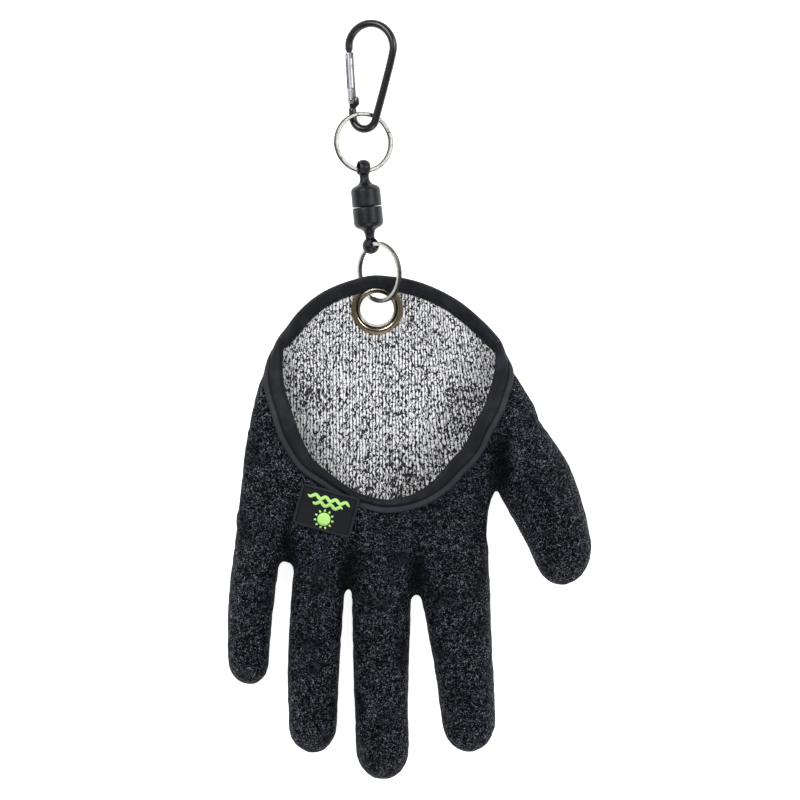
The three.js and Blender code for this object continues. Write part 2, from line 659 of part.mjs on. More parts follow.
function pearBody() {
  const points = [shoulder];
  const bow = (centreY, radius, from, to, steps) => {
    for (let i = 0; i <= steps; i++) {
      const turn = radians(between(from, to, i / steps));
      points.push(new THREE.Vector3(radius * Math.cos(turn), centreY + radius * Math.sin(turn), 0));
    }
  };
  bow(0, pear.lowRadius, 180, 360, 6);
  bow(pear.spacing, pear.topRadius, 0, 180, 8);
  const start = points.pop();
  if (start.y > noseEnd.y + 0.5) points.push(start);
  points.push(noseEnd);
  const path = new THREE.CatmullRomCurve3(points, false, "centripetal");
  const section = new THREE.Shape(
    Array.from({ length: 8 }, (_, i) => {
      const turn = (2 * Math.PI * i) / 8;
      return new THREE.Vector2((pear.wire / 2) * Math.cos(turn), (pear.wire / 2) * Math.sin(turn));
    }),
  );
  const wire = solidFrom(new THREE.ExtrudeGeometry(section, { steps: 38, extrudePath: path }), pearMatrix);
  return wire.add(blade(shoulder, -1)).add(blade(noseEnd, 1)).subtract(pinHole());
}

// A flat blade at an end of the wire, inside the gate's slot: the tongue at the hinge (-1), and the
// catch at the nose (1).
function blade(end, which) {
  const place = (u, v) => {
    const p = end.clone().addScaledVector(gateAcross, u).addScaledVector(gateLine, v);
    return new THREE.Vector2(p.x, p.y);
  };
  const up = hinge.distanceTo(shoulder) + tongue.reachUp;
  const outline =
    which < 0
      ? [
          place(-tongue.reachOut, -1),
          place(1, -1),
          place(tongue.reachIn, 1),
          place(tongue.reachIn, up - 0.8),
          place(tongue.reachIn - 0.8, up),
          place(-tongue.reachOut + 0.6, up),
          place(-tongue.reachOut, up - 0.8),
        ]
      : [place(-1, 1), place(-1, -gate.noseSlot + 0.6), place(1, -gate.noseSlot + 0.6), place(1, 1)];
  const thickness = gate.slot - 2 * clearance;
  const shape = new THREE.Shape(outline);
  const geometry = new THREE.ExtrudeGeometry(shape, { depth: thickness, bevelEnabled: false });
  geometry.translate(0, 0, -thickness / 2);
  return solidFrom(geometry, pearMatrix);
}

function upright(radius, length, sides, at) {
  const geometry = new THREE.CylinderGeometry(radius, radius, length, sides);
  geometry.rotateX(Math.PI / 2);
  geometry.translate(at.x, at.y, 0);
  return solidFrom(geometry, pearMatrix);
}
const pinHole = () => upright(pin.radius + clearance, 10, 10, hinge);

// The gate is a round bar with a slot across each end, on the pin's axis.
function pearGate() {
  const turn = new THREE.Quaternion().setFromUnitVectors(new THREE.Vector3(0, 1, 0), gateLine);
  const middle = gateFoot.clone().add(gateHead).multiplyScalar(0.5);
  const one = new THREE.Vector3(1, 1, 1);
  const bar = new THREE.CylinderGeometry(gate.radius, gate.radius, gate.length, 14);
  const barMatrix = new THREE.Matrix4().compose(middle, turn, one).premultiply(pearMatrix);
  const cut = (from, to) => {
    const box = new THREE.BoxGeometry(4 * gate.radius, to - from, gate.slot);
    box.translate(0, (from + to) / 2 - gate.length / 2, 0);
    return solidFrom(box, barMatrix);
  };
  return solidFrom(bar, barMatrix)
    .subtract(cut(-1, gate.pinUp + gate.slotAbovePin))
    .subtract(cut(gate.length - gate.noseSlot, gate.length + 1))
    .subtract(pinHole());
}

const gatePin = () => upright(pin.radius, 2 * gate.radius - 0.4, 10, hinge);

// Materials, one for each piece.
function finish(color, roughness, metalness) {
  return new THREE.MeshStandardMaterial({ color, roughness, metalness });
}

function piece(name, solid, material) {
  const mesh = new THREE.Mesh(geometryOf(solid), material);
  mesh.name = name;
  return mesh;
}

const glove = new THREE.Group();
glove.add(
  piece("glove_coat", gloveCoat(), finish(0x202328, 0.75, 0)),
  piece("knit_liner", knitLiner(), finish(0xa7a7a7, 0.95, 0)),
  piece("cuff_binding", cuffBinding(), finish(0x2c2d31, 0.6, 0)),
  piece("rubber_label", rubberLabel(), finish(0x2b2e32, 0.5, 0)),
  piece("grommet_eyelet", grommetEyelet(), finish(0xb5a68c, 0.25, 1)),
  piece("grommet_washer", grommetWasher(), finish(0x8a7656, 0.35, 1)),
  piece("split_ring_lower", splitRing(lowerRingMatrix), finish(0xd7d7d6, 0.2, 1)),
  piece("clip_lower_half", lowerHalf.solid.subtract(magnetPocket), finish(0x33353b, 0.5, 0)),
  piece("clip_magnet", magnetSolid, finish(0xb8bcc0, 0.3, 1)),
);

const retainer = new THREE.Group();
retainer.add(
  piece("clip_upper_half", upperHalf.solid, finish(0x33353b, 0.5, 0)),
  piece("split_ring_upper", splitRing(upperRingMatrix), finish(0xd7d7d6, 0.2, 1)),
  piece("carabiner_body", pearBody(), finish(0x1e1d20, 0.3, 0.8)),
  piece("carabiner_gate", pearGate(), finish(0xe6e6e8, 0.3, 1)),
  piece("gate_pin", gatePin(), finish(0xc8c8ca, 0.3, 1)),
);

// The part's origin is the middle of its footprint, on the surface it lies on.
const part = new THREE.Group();
part.add(glove, retainer);
const box = new THREE.Box3().setFromObject(part);
const shift = box.getCenter(new THREE.Vector3()).negate();
shift.z = -box.min.z;
glove.position.copy(shift);
retainer.position.copy(shift);

export default part;
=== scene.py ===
# %% [markdown]
# # A coated fishing glove and its magnetic retainer
#
# The glove lies palm down on a pale table, fingers towards the bottom of the picture. A hard model
# of it is already packed as a frame, and this lesson dresses that frame: latex that has dried with a
# crinkle, a knitted lining, a folded tape, moulded rubber and bright wire. Blender works in metres,
# but a glove maker thinks in millimetres, so every size here is in millimetres and is turned into
# metres in one place.

import bpy
import numpy as np
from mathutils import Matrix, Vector


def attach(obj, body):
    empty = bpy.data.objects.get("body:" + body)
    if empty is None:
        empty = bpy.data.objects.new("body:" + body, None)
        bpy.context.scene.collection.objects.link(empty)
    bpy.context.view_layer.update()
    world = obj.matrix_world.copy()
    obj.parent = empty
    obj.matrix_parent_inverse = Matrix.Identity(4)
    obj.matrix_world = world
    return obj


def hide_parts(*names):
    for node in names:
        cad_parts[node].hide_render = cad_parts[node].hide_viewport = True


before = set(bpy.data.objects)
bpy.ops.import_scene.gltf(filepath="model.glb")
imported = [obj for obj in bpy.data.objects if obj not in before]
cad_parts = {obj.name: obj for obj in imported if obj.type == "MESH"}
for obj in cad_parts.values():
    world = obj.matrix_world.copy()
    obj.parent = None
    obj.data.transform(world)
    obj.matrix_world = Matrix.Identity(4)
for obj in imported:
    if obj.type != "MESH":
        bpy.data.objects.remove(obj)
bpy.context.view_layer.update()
MM = 0.001

# %% [markdown]
# ## How shapes are written down
#
# Every new piece is a grid of points: a function of two numbers, worked out as whole numpy arrays.
# Rows run along the piece and columns run round it. A grid can close on itself in either direction,
# and a tube closes at its ends on a middle point. The points are in the maker's own axes, whose
# origin lies a little to the side of the frame's, so one shift brings them home.

# %% Grids of points become surfaces
FRAME_SHIFT = np.array([1.241, -0.425, 0.0])  # from the maker's origin to the frame's, in mm


def surface(points, wrap_rows=False, wrap_columns=True, caps=False):
    """A grid of points as a surface: each patch joins four neighbours, and its corners also carry
    their own column and row number, which run on past a seam. Caps join an end row to its middle."""
    rows, columns = points.shape[:2]
    r, c = np.meshgrid(
        np.arange(rows - (not wrap_rows)), np.arange(columns - (not wrap_columns)), indexing="ij"
    )
    corner_row = np.stack([r, r, r + 1, r + 1], -1).reshape(-1, 4)
    corner_column = np.stack([c, c + 1, c + 1, c], -1).reshape(-1, 4)
    quads = (corner_row % rows) * columns + corner_column % columns
    quad_uv = np.stack([corner_column, corner_row], -1).astype(float)
    flat = points.reshape(-1, 3)
    tris, tri_uv = np.zeros((0, 3), int), np.zeros((0, 3, 2))
    if caps:
        first, last = np.arange(columns), np.arange(columns) + (rows - 1) * columns
        after = (np.arange(columns) + 1) % columns
        poles = len(flat) + np.zeros(columns, int)
        tris = np.concatenate(
            [np.stack([poles, after, first], 1), np.stack([poles + 1, last, last - first + after], 1)]
        )
        run = np.stack([first + 0.5, first + 1.0, first], 1)
        low = np.stack([run, np.zeros_like(run)], -1)
        high = np.stack([run[:, [0, 2, 1]], np.full_like(run, rows - 1)], -1)
        tri_uv = np.concatenate([low, high])
        flat = np.concatenate([flat, [points[0].mean(0), points[-1].mean(0)]])
    return {"points": flat, "quads": quads, "tris": tris, "quad_uv": quad_uv, "tri_uv": tri_uv}


def together(parts):
    """Several surfaces as one: their faces are counted on from the points before them."""
    starts = np.cumsum([0] + [len(p["points"]) for p in parts[:-1]])
    made = {key: np.concatenate([p[key] for p in parts]) for key in ("points", "quad_uv", "tri_uv")}
    for key in ("quads", "tris"):
        made[key] = np.concatenate([p[key] + start for p, start in zip(parts, starts)])
    return made


def volume(part):
    """The volume inside a closed surface: a sixth of each triangle's corners' box product, added."""
    quads = part["quads"]
    triangles = np.concatenate([quads[:, :3], quads[:, [0, 2, 3]], part["tris"]])
    a, b, c = (part["points"][triangles[:, i]] for i in range(3))
    return np.einsum("ij,ij->i", a, np.cross(b, c)).sum() / 6


# %% [markdown]
# A surface becomes a Blender mesh through foreach_set, which takes a whole array at once. The sign of
# the volume tells whether the faces look out or in, so a piece that came out inside out is turned.
# Each piece then rides on the body of the frame that carries the real one, and stands for the hard
# nodes that it is drawn over.


# %% Surfaces become pieces that ride on the frame
def mesh_of(name, part, uv_scale=(1.0, 1.0)):
    """A mesh in metres with its faces outwards and its grid numbers, scaled, as the UV map."""
    quads, tris = part["quads"], part["tris"]
    quad_uv, tri_uv = part["quad_uv"], part["tri_uv"]
    if volume(part) < 0:
        quads, tris, quad_uv, tri_uv = quads[:, ::-1], tris[:, ::-1], quad_uv[:, ::-1], tri_uv[:, ::-1]
    corners = np.concatenate([quads.ravel(), tris.ravel()]).astype(np.int32)
    sizes = np.concatenate([np.full(len(quads), 4), np.full(len(tris), 3)])
    starts = np.concatenate([[0], np.cumsum(sizes)[:-1]]).astype(np.int32)
    mesh = bpy.data.meshes.new(name)
    mesh.vertices.add(len(part["points"]))
    mesh.vertices.foreach_set("co", ((part["points"] + FRAME_SHIFT) * MM).astype(np.float32).ravel())
    mesh.loops.add(len(corners))
    mesh.loops.foreach_set("vertex_index", corners)
    mesh.polygons.add(len(sizes))
    mesh.polygons.foreach_set("loop_start", starts)
    mesh.update(calc_edges=True)
    mesh.polygons.foreach_set("use_smooth", np.ones(len(sizes), bool))
    layer = mesh.uv_layers.new(name="across_along")
    uv = np.concatenate([quad_uv.reshape(-1, 2), tri_uv.reshape(-1, 2)]) * uv_scale
    layer.data.foreach_set("uv", uv.astype(np.float32).ravel())
    mesh.validate()
    return mesh


def piece(name, part, body, finish, stands_for=(), uv_scale=(1.0, 1.0)):
    """A finished piece: its mesh, its material, the body it rides on and the nodes it stands for."""
    thing = bpy.data.objects.new(name, mesh_of(name, part, uv_scale))
    bpy.context.scene.collection.objects.link(thing)
    thing.data.materials.append(finish)
    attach(thing, body)
    if stands_for:
        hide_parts(*stands_for)
    print(f"{name}: {len(part['quads']) + len(part['tris'])} faces")
    return thing


# %% [markdown]
# ## Shader sums written as Python
#
# A material is a net of small nodes. Written out one by one they hide the idea, so a wrapper round a
# socket lets plain Python sums stand for Math nodes: `1 - mask` or `height * 0.3 + grain`. Colours are
# mixed by their own node, because a Math node would turn them grey.


# %% A value that varies over a surface
FULL_TURN = 6.2832  # in radians, for patterns that repeat


class Varying:
    """An output socket that can be added, multiplied and compared like a number."""

    def __init__(self, finish, socket):
        self.finish, self.socket = finish, socket

    def maths(self, operation, *values):
        return self.finish.node("ShaderNodeMath", {"operation": operation}, dict(enumerate(values)))

    def __add__(self, other):
        return self.maths("ADD", self, other)

    def __radd__(self, other):
        return self.maths("ADD", other, self)

    def __sub__(self, other):
        return self.maths("SUBTRACT", self, other)

    def __rsub__(self, other):
        return self.maths("SUBTRACT", other, self)

    def __mul__(self, other):
        return self.maths("MULTIPLY", self, other)

    def __truediv__(self, other):
        return self.maths("DIVIDE", self, other)

    def __pow__(self, other):
        return self.maths("POWER", self, other)

    def __abs__(self):
        return self.maths("ABSOLUTE", self)

    def floor(self):
        return self.maths("FLOOR", self)

    def part(self):
        return self.maths("FRACT", self)

    def sine(self):
        return self.maths("SINE", self)

    def between(self, low, high):
        """0 below low, 1 above high, and a soft slope from one to the other."""
        settings = {"interpolation_type": "SMOOTHSTEP"}
        return self.finish.node("ShaderNodeMapRange", settings, {0: self, 1: low, 2: high})


# %% A finish is one material and its nodes
class Finish:
    """One material. Sizes given to its patterns are millimetres on the real object."""

    def __init__(self, name, **sockets):
        self.material = bpy.data.materials.new(name)
        self.material.use_nodes = True
        self.tree = self.material.node_tree
        self.shader = self.tree.nodes["Principled BSDF"]
        for socket, value in sockets.items():
            self.shader.inputs[socket.replace("_", " ")].default_value = value

    def node(self, kind, settings=None, values=None, output=0):
        """Any node: its settings are set first, then the values or links of its sockets."""
        made = self.tree.nodes.new(kind)
        for key, value in (settings or {}).items():
            if key == "stops":
                ramp = made.color_ramp
                while len(ramp.elements) < len(value):
                    ramp.elements.new(0.5)
                for element, (place, colour) in zip(ramp.elements, value):
                    element.position, element.color = place, (*colour, 1)
            else:
                setattr(made, key, value)
        for key, value in (values or {}).items():
            if isinstance(value, Varying):
                self.tree.links.new(value.socket, made.inputs[key])
            else:
                made.inputs[key].default_value = value
        return Varying(self, made.outputs[output])

    def place(self):
        return self.node("ShaderNodeTexCoord", output=3)

    def uv(self):
        return self.node("ShaderNodeTexCoord", output=2)

    def split(self, vector):
        """The three numbers of a vector."""
        first = self.node("ShaderNodeSeparateXYZ", values={0: vector})
        outputs = first.socket.node.outputs
        return [Varying(self, outputs[i]) for i in range(3)]

    def vector(self, x, y, z=0.0):
        return self.node("ShaderNodeCombineXYZ", values={0: x, 1: y, 2: z})

    def from_place(self, x, y):
        """How far to the right of and beyond a place on the glove, in millimetres."""
        right, beyond, _ = self.split(self.place())
        return right / MM - float(x + FRAME_SHIFT[0]), beyond / MM - float(y + FRAME_SHIFT[1])

    def noise(self, size, detail=2.0, rough=0.5, where=None, warp=0.0):
        where = where or self.place()
        values = {"Vector": where, "Scale": 1 / (size * MM), "Detail": detail}
        return self.node("ShaderNodeTexNoise", None, {**values, "Roughness": rough, "Distortion": warp})

    def mix(self, share, first, second):
        """A colour between two colours."""
        settings = {"data_type": "RGBA"}
        return self.node("ShaderNodeMix", settings, {0: share, 6: first, 7: second}, output=2)

    def bump(self, height, depth, strength=1.0):
        """A height from 0 to 1, as relief of that depth in millimetres."""
        values = {"Height": height, "Distance": depth * MM, "Strength": strength}
        return self.node("ShaderNodeBump", None, values)

    def feed(self, **links):
        for socket, value in links.items():
            self.tree.links.new(value.socket, self.shader.inputs[socket.replace("_", " ")])
        return self.material


def paint(red, green, blue):
    """A colour as a camera's 0 to 255 numbers, turned into the light it stands for."""
    share = np.array([red, green, blue]) / 255
    light = np.where(share <= 0.04045, share / 12.92, ((share + 0.055) / 1.055) ** 2.4)
    return (*light.tolist(), 1.0)


# %% [markdown]
# ## The palm as a function
#
# A knitted glove is a tube, so the palm is a tube too. Each section is a rounded box that is flatter
# below, where it rests, and rounder above. A short table gives its left and right edges and its
# lowest, widest and highest levels as shares of the palm's own sizes, and a smooth curve runs through
# each column. Round the grommet the flap is pressed flat.

# %% The palm's sizes and sections
PALM = {"length": 139.7, "half_width": 56.5, "thickness": 30.0, "centre_x": -18.0, "knuckle_y": -85.8}
ROUNDNESS = {"high": 2.3, "low": 3.0}
GROMMET = {"x": -15.4, "y": 40.6, "underside": 5.0, "tilt": 13.0, "hole": 7.4, "roll": 9.8, "sheet": 0.5}
FLAT_RADIUS, FADE_RADIUS = 16.0, 30.0
COAT_WALL, LINER_WALL, CLEARANCE = 1.0, 0.9, 0.3
WALLS = COAT_WALL + CLEARANCE + LINER_WALL

# along the palm, then left and right edges, then low, mid and high levels
PALM_ROWS = np.array(
    [
        (0.0, -0.05, 0.42, 0.16, 0.33, 0.5),
        (0.022, -0.2, 0.63, 0.07, 0.35, 0.62),
        (0.057, -0.4, 0.8, 0.0, 0.37, 0.68),
        (0.101, -0.65, 0.89, -0.02, 0.39, 0.73),
        (0.142, -0.92, 0.9, -0.03, 0.4, 0.76),
        (0.205, -1.04, 0.9, -0.03, 0.42, 0.79),
        (0.299, -1.02, 0.93, -0.03, 0.44, 0.84),
        (0.394, -1.0, 1.06, -0.03, 0.46, 0.88),
        (0.488, -0.97, 1.29, -0.03, 0.47, 0.9),
        (0.583, -0.92, 1.28, -0.03, 0.48, 0.9),
        (0.661, -0.87, 1.17, -0.02, 0.45, 0.82),
        (0.74, -0.79, 1.055, 0.0, 0.41, 0.72),
        (0.819, -0.7, 0.985, 0.06, 0.37, 0.64),
        (0.898, -0.64, 0.96, 0.15, 0.36, 0.6),
        (1.0, -0.6, 0.94, 0.24, 0.36, 0.6),
    ]
)


def smooth(value, low, high):
    """0 below low, 1 above high, and 3t^2 - 2t^3 of the way between."""
    t = np.clip((value - low) / (high - low), 0, 1)
    return t * t * (3 - 2 * t)


def read_table(rows, where):
    """Every column of a table at places along its first one: a cubic between two rows. Its slope at a
    row is the mean slope of the two lines that meet there, and at the ends that of the one line."""
    at, values = rows[:, 0], rows[:, 1:]
    t = np.clip(where, at[0], at[-1])
    i = np.clip(np.searchsorted(at, t, side="right"), 1, len(at) - 1)
    t0, t1 = at[i - 1], at[i]
    first, last = i == 1, i == len(at) - 1
    before = np.where(first, t1, at[np.maximum(i - 2, 0)])
    after = np.where(last, t0, at[np.minimum(i + 1, len(at) - 1)])
    wb, wa = (t1 - t0) / 2 / (t0 - before), (t1 - t0) / 2 / (after - t1)
    p = (t - t0) / (t1 - t0)
    weights = [
        (-wb * p**3 + 2 * wb * p**2 - wb * p, np.where(first, i, i - 2)),
        ((1 + wb) * p**3 - (1.5 + 2 * wb) * p**2 + (wb - 0.5) * p + 1, i - 1),
        (-(1 + wa) * p**3 + (1.5 + wa) * p**2 + 0.5 * p, i),
        (wa * p**3 - wa * p**2, np.where(last, i - 1, i + 1)),
    ]
    return sum(w[..., None] * values[index] for w, index in weights)


# %% A point, a direction and a depth on the palm
def palm_point(turn, along):
    """A point of the palm's skin. turn goes round a section from the thumb side over the back. x is
    the middle plus the half width times cos(turn)^(2/n), and z the mid level plus the reach up or down
    times sin(turn)^(2/n), where n is how boxy that half of the section is."""
    left, right, low, mid, high = np.moveaxis(read_table(PALM_ROWS, along), -1, 0)
    c, s = np.cos(turn), np.sin(turn)
    n = 2 / np.where(s > 0, ROUNDNESS["high"], ROUNDNESS["low"])
    boxed_c, boxed_s = (np.sign(v) * np.abs(v) ** n for v in (c, s))
    x = PALM["centre_x"] + PALM["half_width"] * ((left + right) / 2 + (right - left) / 2 * boxed_c)
    y = PALM["knuckle_y"] + PALM["length"] * along + 0 * turn
    z = PALM["thickness"] * (mid + np.where(s > 0, high - mid, mid - low) * boxed_s)
    away = np.hypot(x - GROMMET["x"], y - GROMMET["y"])
    flat = GROMMET["underside"] + np.tan(np.radians(GROMMET["tilt"])) * (y - GROMMET["y"])
    z = np.where(s < 0, z + (flat - z) * (1 - smooth(away, FLAT_RADIUS, FADE_RADIUS)), z)
    return np.stack([x, y, np.maximum(z, 0)], -1)


def unit(vectors):
    return vectors / np.linalg.norm(vectors, axis=-1, keepdims=True)


def palm_frame(turn, along, step=0.01):
    """The skin's change for a step of turn and of along, by differences, and the way out of it."""
    ahead, behind = np.minimum(along + step, 1), np.maximum(along - step, 0)
    round_way = (palm_point(turn + step, along) - palm_point(turn - step, along)) / (2 * step)
    long_way = (palm_point(turn, ahead) - palm_point(turn, behind)) / (ahead - behind)[..., None]
    return round_way, long_way, unit(np.cross(long_way, round_way))


def palm_offset(turn, along, height):
    """A point at a height above the palm's skin."""
    return palm_point(turn, along) + palm_frame(turn, along)[2] * np.asarray(height)[..., None]


def turn_at(across, along, side):
    """The turn where a section has a given x, on the back (side 1) or the palm side (side -1)."""
    left, right = np.moveaxis(read_table(PALM_ROWS, along), -1, 0)[:2]
    share = (2 * across - left - right) / (right - left)
    n = np.where(side > 0, ROUNDNESS["high"], ROUNDNESS["low"]) / 2
    angle = np.arccos(np.clip(np.sign(share) * np.abs(share) ** n, -1, 1))
    return np.where(side > 0, angle, -angle)


print("middle of the back of the palm:", palm_point(np.array(np.pi / 2), np.array(0.25)).round(1))

# %% [markdown]
# ## The rim of the cuff
#
# The back of the cuff is cut low in a deep V, and the palm side runs up as a rounded flap. In the
# plane of turn and along the whole rim is one curve, so a few chosen places and a centripetal
# Catmull-Rom curve through them are enough. The curve is then read at even steps of its length.

# %% The rim as a curve on the palm
# side, across, along, and the share of the tape's outer leg that shows there
RIM_ROWS = np.array(
    [
        (-1, 0.054, 1.0, 0.8),
        (-1, 0.3, 0.987, 0.8),
        (-1, 0.646, 0.928, 0.8),
        (-1, 0.833, 0.869, 0.8),
        (-1, 0.957, 0.819, 0.8),
        (1, 1.006, 0.769, 0.9),
        (1, 0.981, 0.696, 1.0),
        (1, 0.918, 0.611, 1.0),
        (1, 0.802, 0.517, 1.0),
        (1, 0.677, 0.435, 0.95),
        (1, 0.545, 0.372, 0.85),
        (1, 0.389, 0.321, 0.7),
        (1, 0.148, 0.293, 0.6),
        (1, -0.023, 0.304, 0.6),
        (1, -0.35, 0.383, 0.7),
        (1, -0.482, 0.432, 0.85),
        (1, -0.576, 0.507, 1.0),
        (1, -0.654, 0.598, 1.0),
        (1, -0.708, 0.677, 1.0),
        (1, -0.716, 0.765, 0.9),
        (-1, -0.665, 0.832, 0.8),
        (-1, -0.565, 0.884, 0.8),
        (-1, -0.39, 0.943, 0.8),
        (-1, -0.163, 0.983, 0.8),
    ]
)


def smooth_path(points, count, before=None, after=None):
    """count + 1 evenly spaced points of the centripetal Catmull-Rom curve through points: knots lie
    the square root of each chord apart, and each stretch is the cubic with the slopes they give."""
    before = 2 * points[0] - points[1] if before is None else before
    after = 2 * points[-1] - points[-2] if after is None else after
    p = np.vstack([before, points, after])
    gap = np.maximum(np.linalg.norm(np.diff(p, axis=0), axis=1) ** 0.5, 1e-4)[:, None]
    a, b, c, d = p[:-3], p[1:-2], p[2:-1], p[3:]
    g0, g1, g2 = gap[:-2], gap[1:-1], gap[2:]
    start = ((b - a) / g0 - (c - a) / (g0 + g1) + (c - b) / g1) * g1
    end = ((c - b) / g1 - (d - b) / (g1 + g2) + (d - c) / g2) * g1
    t = np.linspace(0, 1, 40, endpoint=False)[None, :, None]
    b, c, start, end = (v[:, None, :] for v in (b, c, start, end))
    cubic = 2 * b - 2 * c + start + end, -3 * b + 3 * c - 2 * start - end
    fine = (cubic[0] * t**3 + cubic[1] * t**2 + start * t + b).reshape(-1, p.shape[1])
    fine = np.vstack([fine, points[-1]])
    run = np.concatenate([[0], np.cumsum(np.linalg.norm(np.diff(fine, axis=0), axis=1))])
    even = np.linspace(0, run[-1], count + 1)
    return np.stack([np.interp(even, run, column) for column in fine.T], -1)


def rim_places(count):
    """turn, along and tape share at even steps round the rim, starting at the top of the flap."""
    side, across, along, tape = RIM_ROWS.T
    turn = turn_at(across, along, side)
    turn = np.where((side < 0) & (np.arange(len(side)) > len(side) / 2), turn + 2 * np.pi, turn)
    scale = np.array([PALM["half_width"], PALM["length"], 1.0])
    points = np.stack([turn, along, tape], -1) * scale
    once_round = np.array([2 * np.pi * PALM["half_width"], 0, 0])
    curve = smooth_path(
        np.vstack([points, points[0] + once_round]), count, points[-1] - once_round, points[1] + once_round
    )
    return (curve[:-1] / scale).T


RIM_STEPS = 560
rim_turn, rim_along, rim_tape = rim_places(RIM_STEPS)
rim_edge = palm_point(rim_turn, rim_along)
rim_length = np.linalg.norm(rim_edge - np.roll(rim_edge, 1, axis=0), axis=1).sum()
print("the rim is", round(rim_length), "mm round")

# %% [markdown]
# ## The digits
#
# A glove's digit is a sleeve with a soft box for a section and a dome at its tip. Its width changes
# slowly from root to tip, it leans, and its centre line bows a little.

# %% Digits as sections along a bowed line
# root across and along the palm, length, heading, bow, root, mid and tip widths, height
DIGIT_ROWS = [
    (-0.86, 0.2, 67.5, -4.8, -0.022, 21.0, 20.2, 17.8, 19.0),
    (-0.374, 0.173, 93.8, -2.8, -0.016, 23.6, 23.0, 21.2, 20.0),
    (0.086, 0.157, 103.2, 0.2, -0.005, 27.6, 24.8, 23.0, 20.5),
    (0.61, 0.157, 91.4, 6.1, 0.006, 34.0, 27.6, 23.6, 20.5),
    (1.05, 0.52, 73.3, 23.0, 0.045, 29.0, 33.0, 26.8, 21.5),
]
DIGIT = {"power": 2.4, "mid": 0.45, "sunk": 0.02, "root_rise": 0.12, "dome": 0.62}


def digit(row, inset, sides=64):
    """A closed digit at a depth below its skin: across its line each section is a rounded box of
    half width w and heights up and down, and over the dome all three shrink by the cosine. It is
    highest a little beyond its root, and sinks into the palm before that."""
    across, along, length, heading, bow, root_width, mid_width, tip_width, height = row
    heading = np.radians(heading)
    ahead = np.array([np.sin(heading), -np.cos(heading), 0])
    aside = np.array([np.cos(heading), np.sin(heading), 0])
    root_x = PALM["centre_x"] + PALM["half_width"] * across
    root = np.array([root_x, PALM["knuckle_y"] + PALM["length"] * along, 0])
    dome = DIGIT["dome"] * tip_width
    barrel = length - dome
    angle = np.radians(np.linspace(0, 86, 16))
    distance = np.concatenate([np.linspace(0, barrel, 48)[:-1], barrel + (dome - inset) * np.sin(angle)])
    swell = np.concatenate([np.ones(47), np.cos(angle)])
    widths = np.array([(0, root_width), (0.5, mid_width), (1, tip_width)])
    share = distance / length
    centre = root + ahead * distance[:, None] + aside * (bow * length * 4 * share * (1 - share))[:, None]
    half = (read_table(widths, np.minimum(distance / barrel, 1))[:, 0] / 2 - inset) * swell
    bulge = 1 - share - 1.5 * (1 - smooth(share, 0, 0.3))
    tall = height * (1 + DIGIT["root_rise"] * bulge)
    mid = tall * DIGIT["mid"]
    rise, fall = (tall - mid - inset) * swell, (mid + tall * DIGIT["sunk"] - inset) * swell
    turn = np.linspace(0, 2 * np.pi, sides, endpoint=False)
    boxed = [np.sign(v) * np.abs(v) ** (2 / DIGIT["power"]) for v in (np.cos(turn), np.sin(turn))]
    points = centre[:, None] + aside * (half[:, None] * boxed[0])[..., None]
    level = mid[:, None] + np.where(boxed[1] > 0, rise[:, None], fall[:, None]) * boxed[1]
    points[..., 2] = np.maximum(level, inset)
    return surface(points, caps=True)


# %% [markdown]
# ## One skin from a palm and five digits
#
# On the real glove the fingers grow out of the palm with soft webs between them. Tubes that merely
# run through each other leave a hard crease there, so they are fused: Blender's voxel remesh wraps one
# even skin round all of them, and a few rounds of smoothing take out its steps and round the webs.
# Smoothing alone would shrink the fingers, so each round pulls the points in and then pushes them
# back out a little further.


# %% Fuse the tubes, relax the skin and cut the mouth
def palm_tube(inset, rows=120, columns=256):
    """The whole palm as a closed tube, past the rim to the end of the flap."""
    along, turn = np.meshgrid(np.linspace(0, 1, rows), np.linspace(0, 2 * np.pi, columns, endpoint=False),
                              indexing="ij")
    return surface(palm_offset(turn, along, np.full(turn.shape, -inset)), caps=True)


def relaxed(points, quads, rounds):
    """Each point moves towards the middle of its neighbours by 0.5 of the way, and back by 0.52."""
    here, there = quads.ravel(), np.roll(quads, -1, axis=1).ravel()
    degree = np.bincount(here, minlength=len(points))[:, None]
    for share in [0.5, -0.52] * rounds + [0.5]:
        near = [np.bincount(here, weights=points[there, k], minlength=len(points)) for k in range(3)]
        points = points + share * (np.stack(near, 1) / degree - points)
    return points


def fused(inset, voxel, rounds):
    """The skin of the palm and digits as points and quads, voxel millimetres apart."""
    tubes = together([palm_tube(inset)] + [digit(row, inset) for row in DIGIT_ROWS])
    rough = bpy.data.objects.new("tubes", mesh_of("tubes", tubes))
    bpy.context.scene.collection.objects.link(rough)
    wrap = rough.modifiers.new("wrap", "REMESH")
    wrap.mode, wrap.voxel_size, wrap.adaptivity = "VOXEL", voxel * MM, 0
    whole = bpy.data.meshes.new_from_object(rough.evaluated_get(bpy.context.evaluated_depsgraph_get()))
    points = np.empty(len(whole.vertices) * 3, np.float32)
    whole.vertices.foreach_get("co", points)
    corners = np.empty(len(whole.loops), np.int32)
    whole.loops.foreach_get("vertex_index", corners)
    bpy.data.objects.remove(rough)
    points = points.reshape(-1, 3) / MM - FRAME_SHIFT
    return relaxed(points, corners.reshape(-1, 4), rounds), corners.reshape(-1, 4)


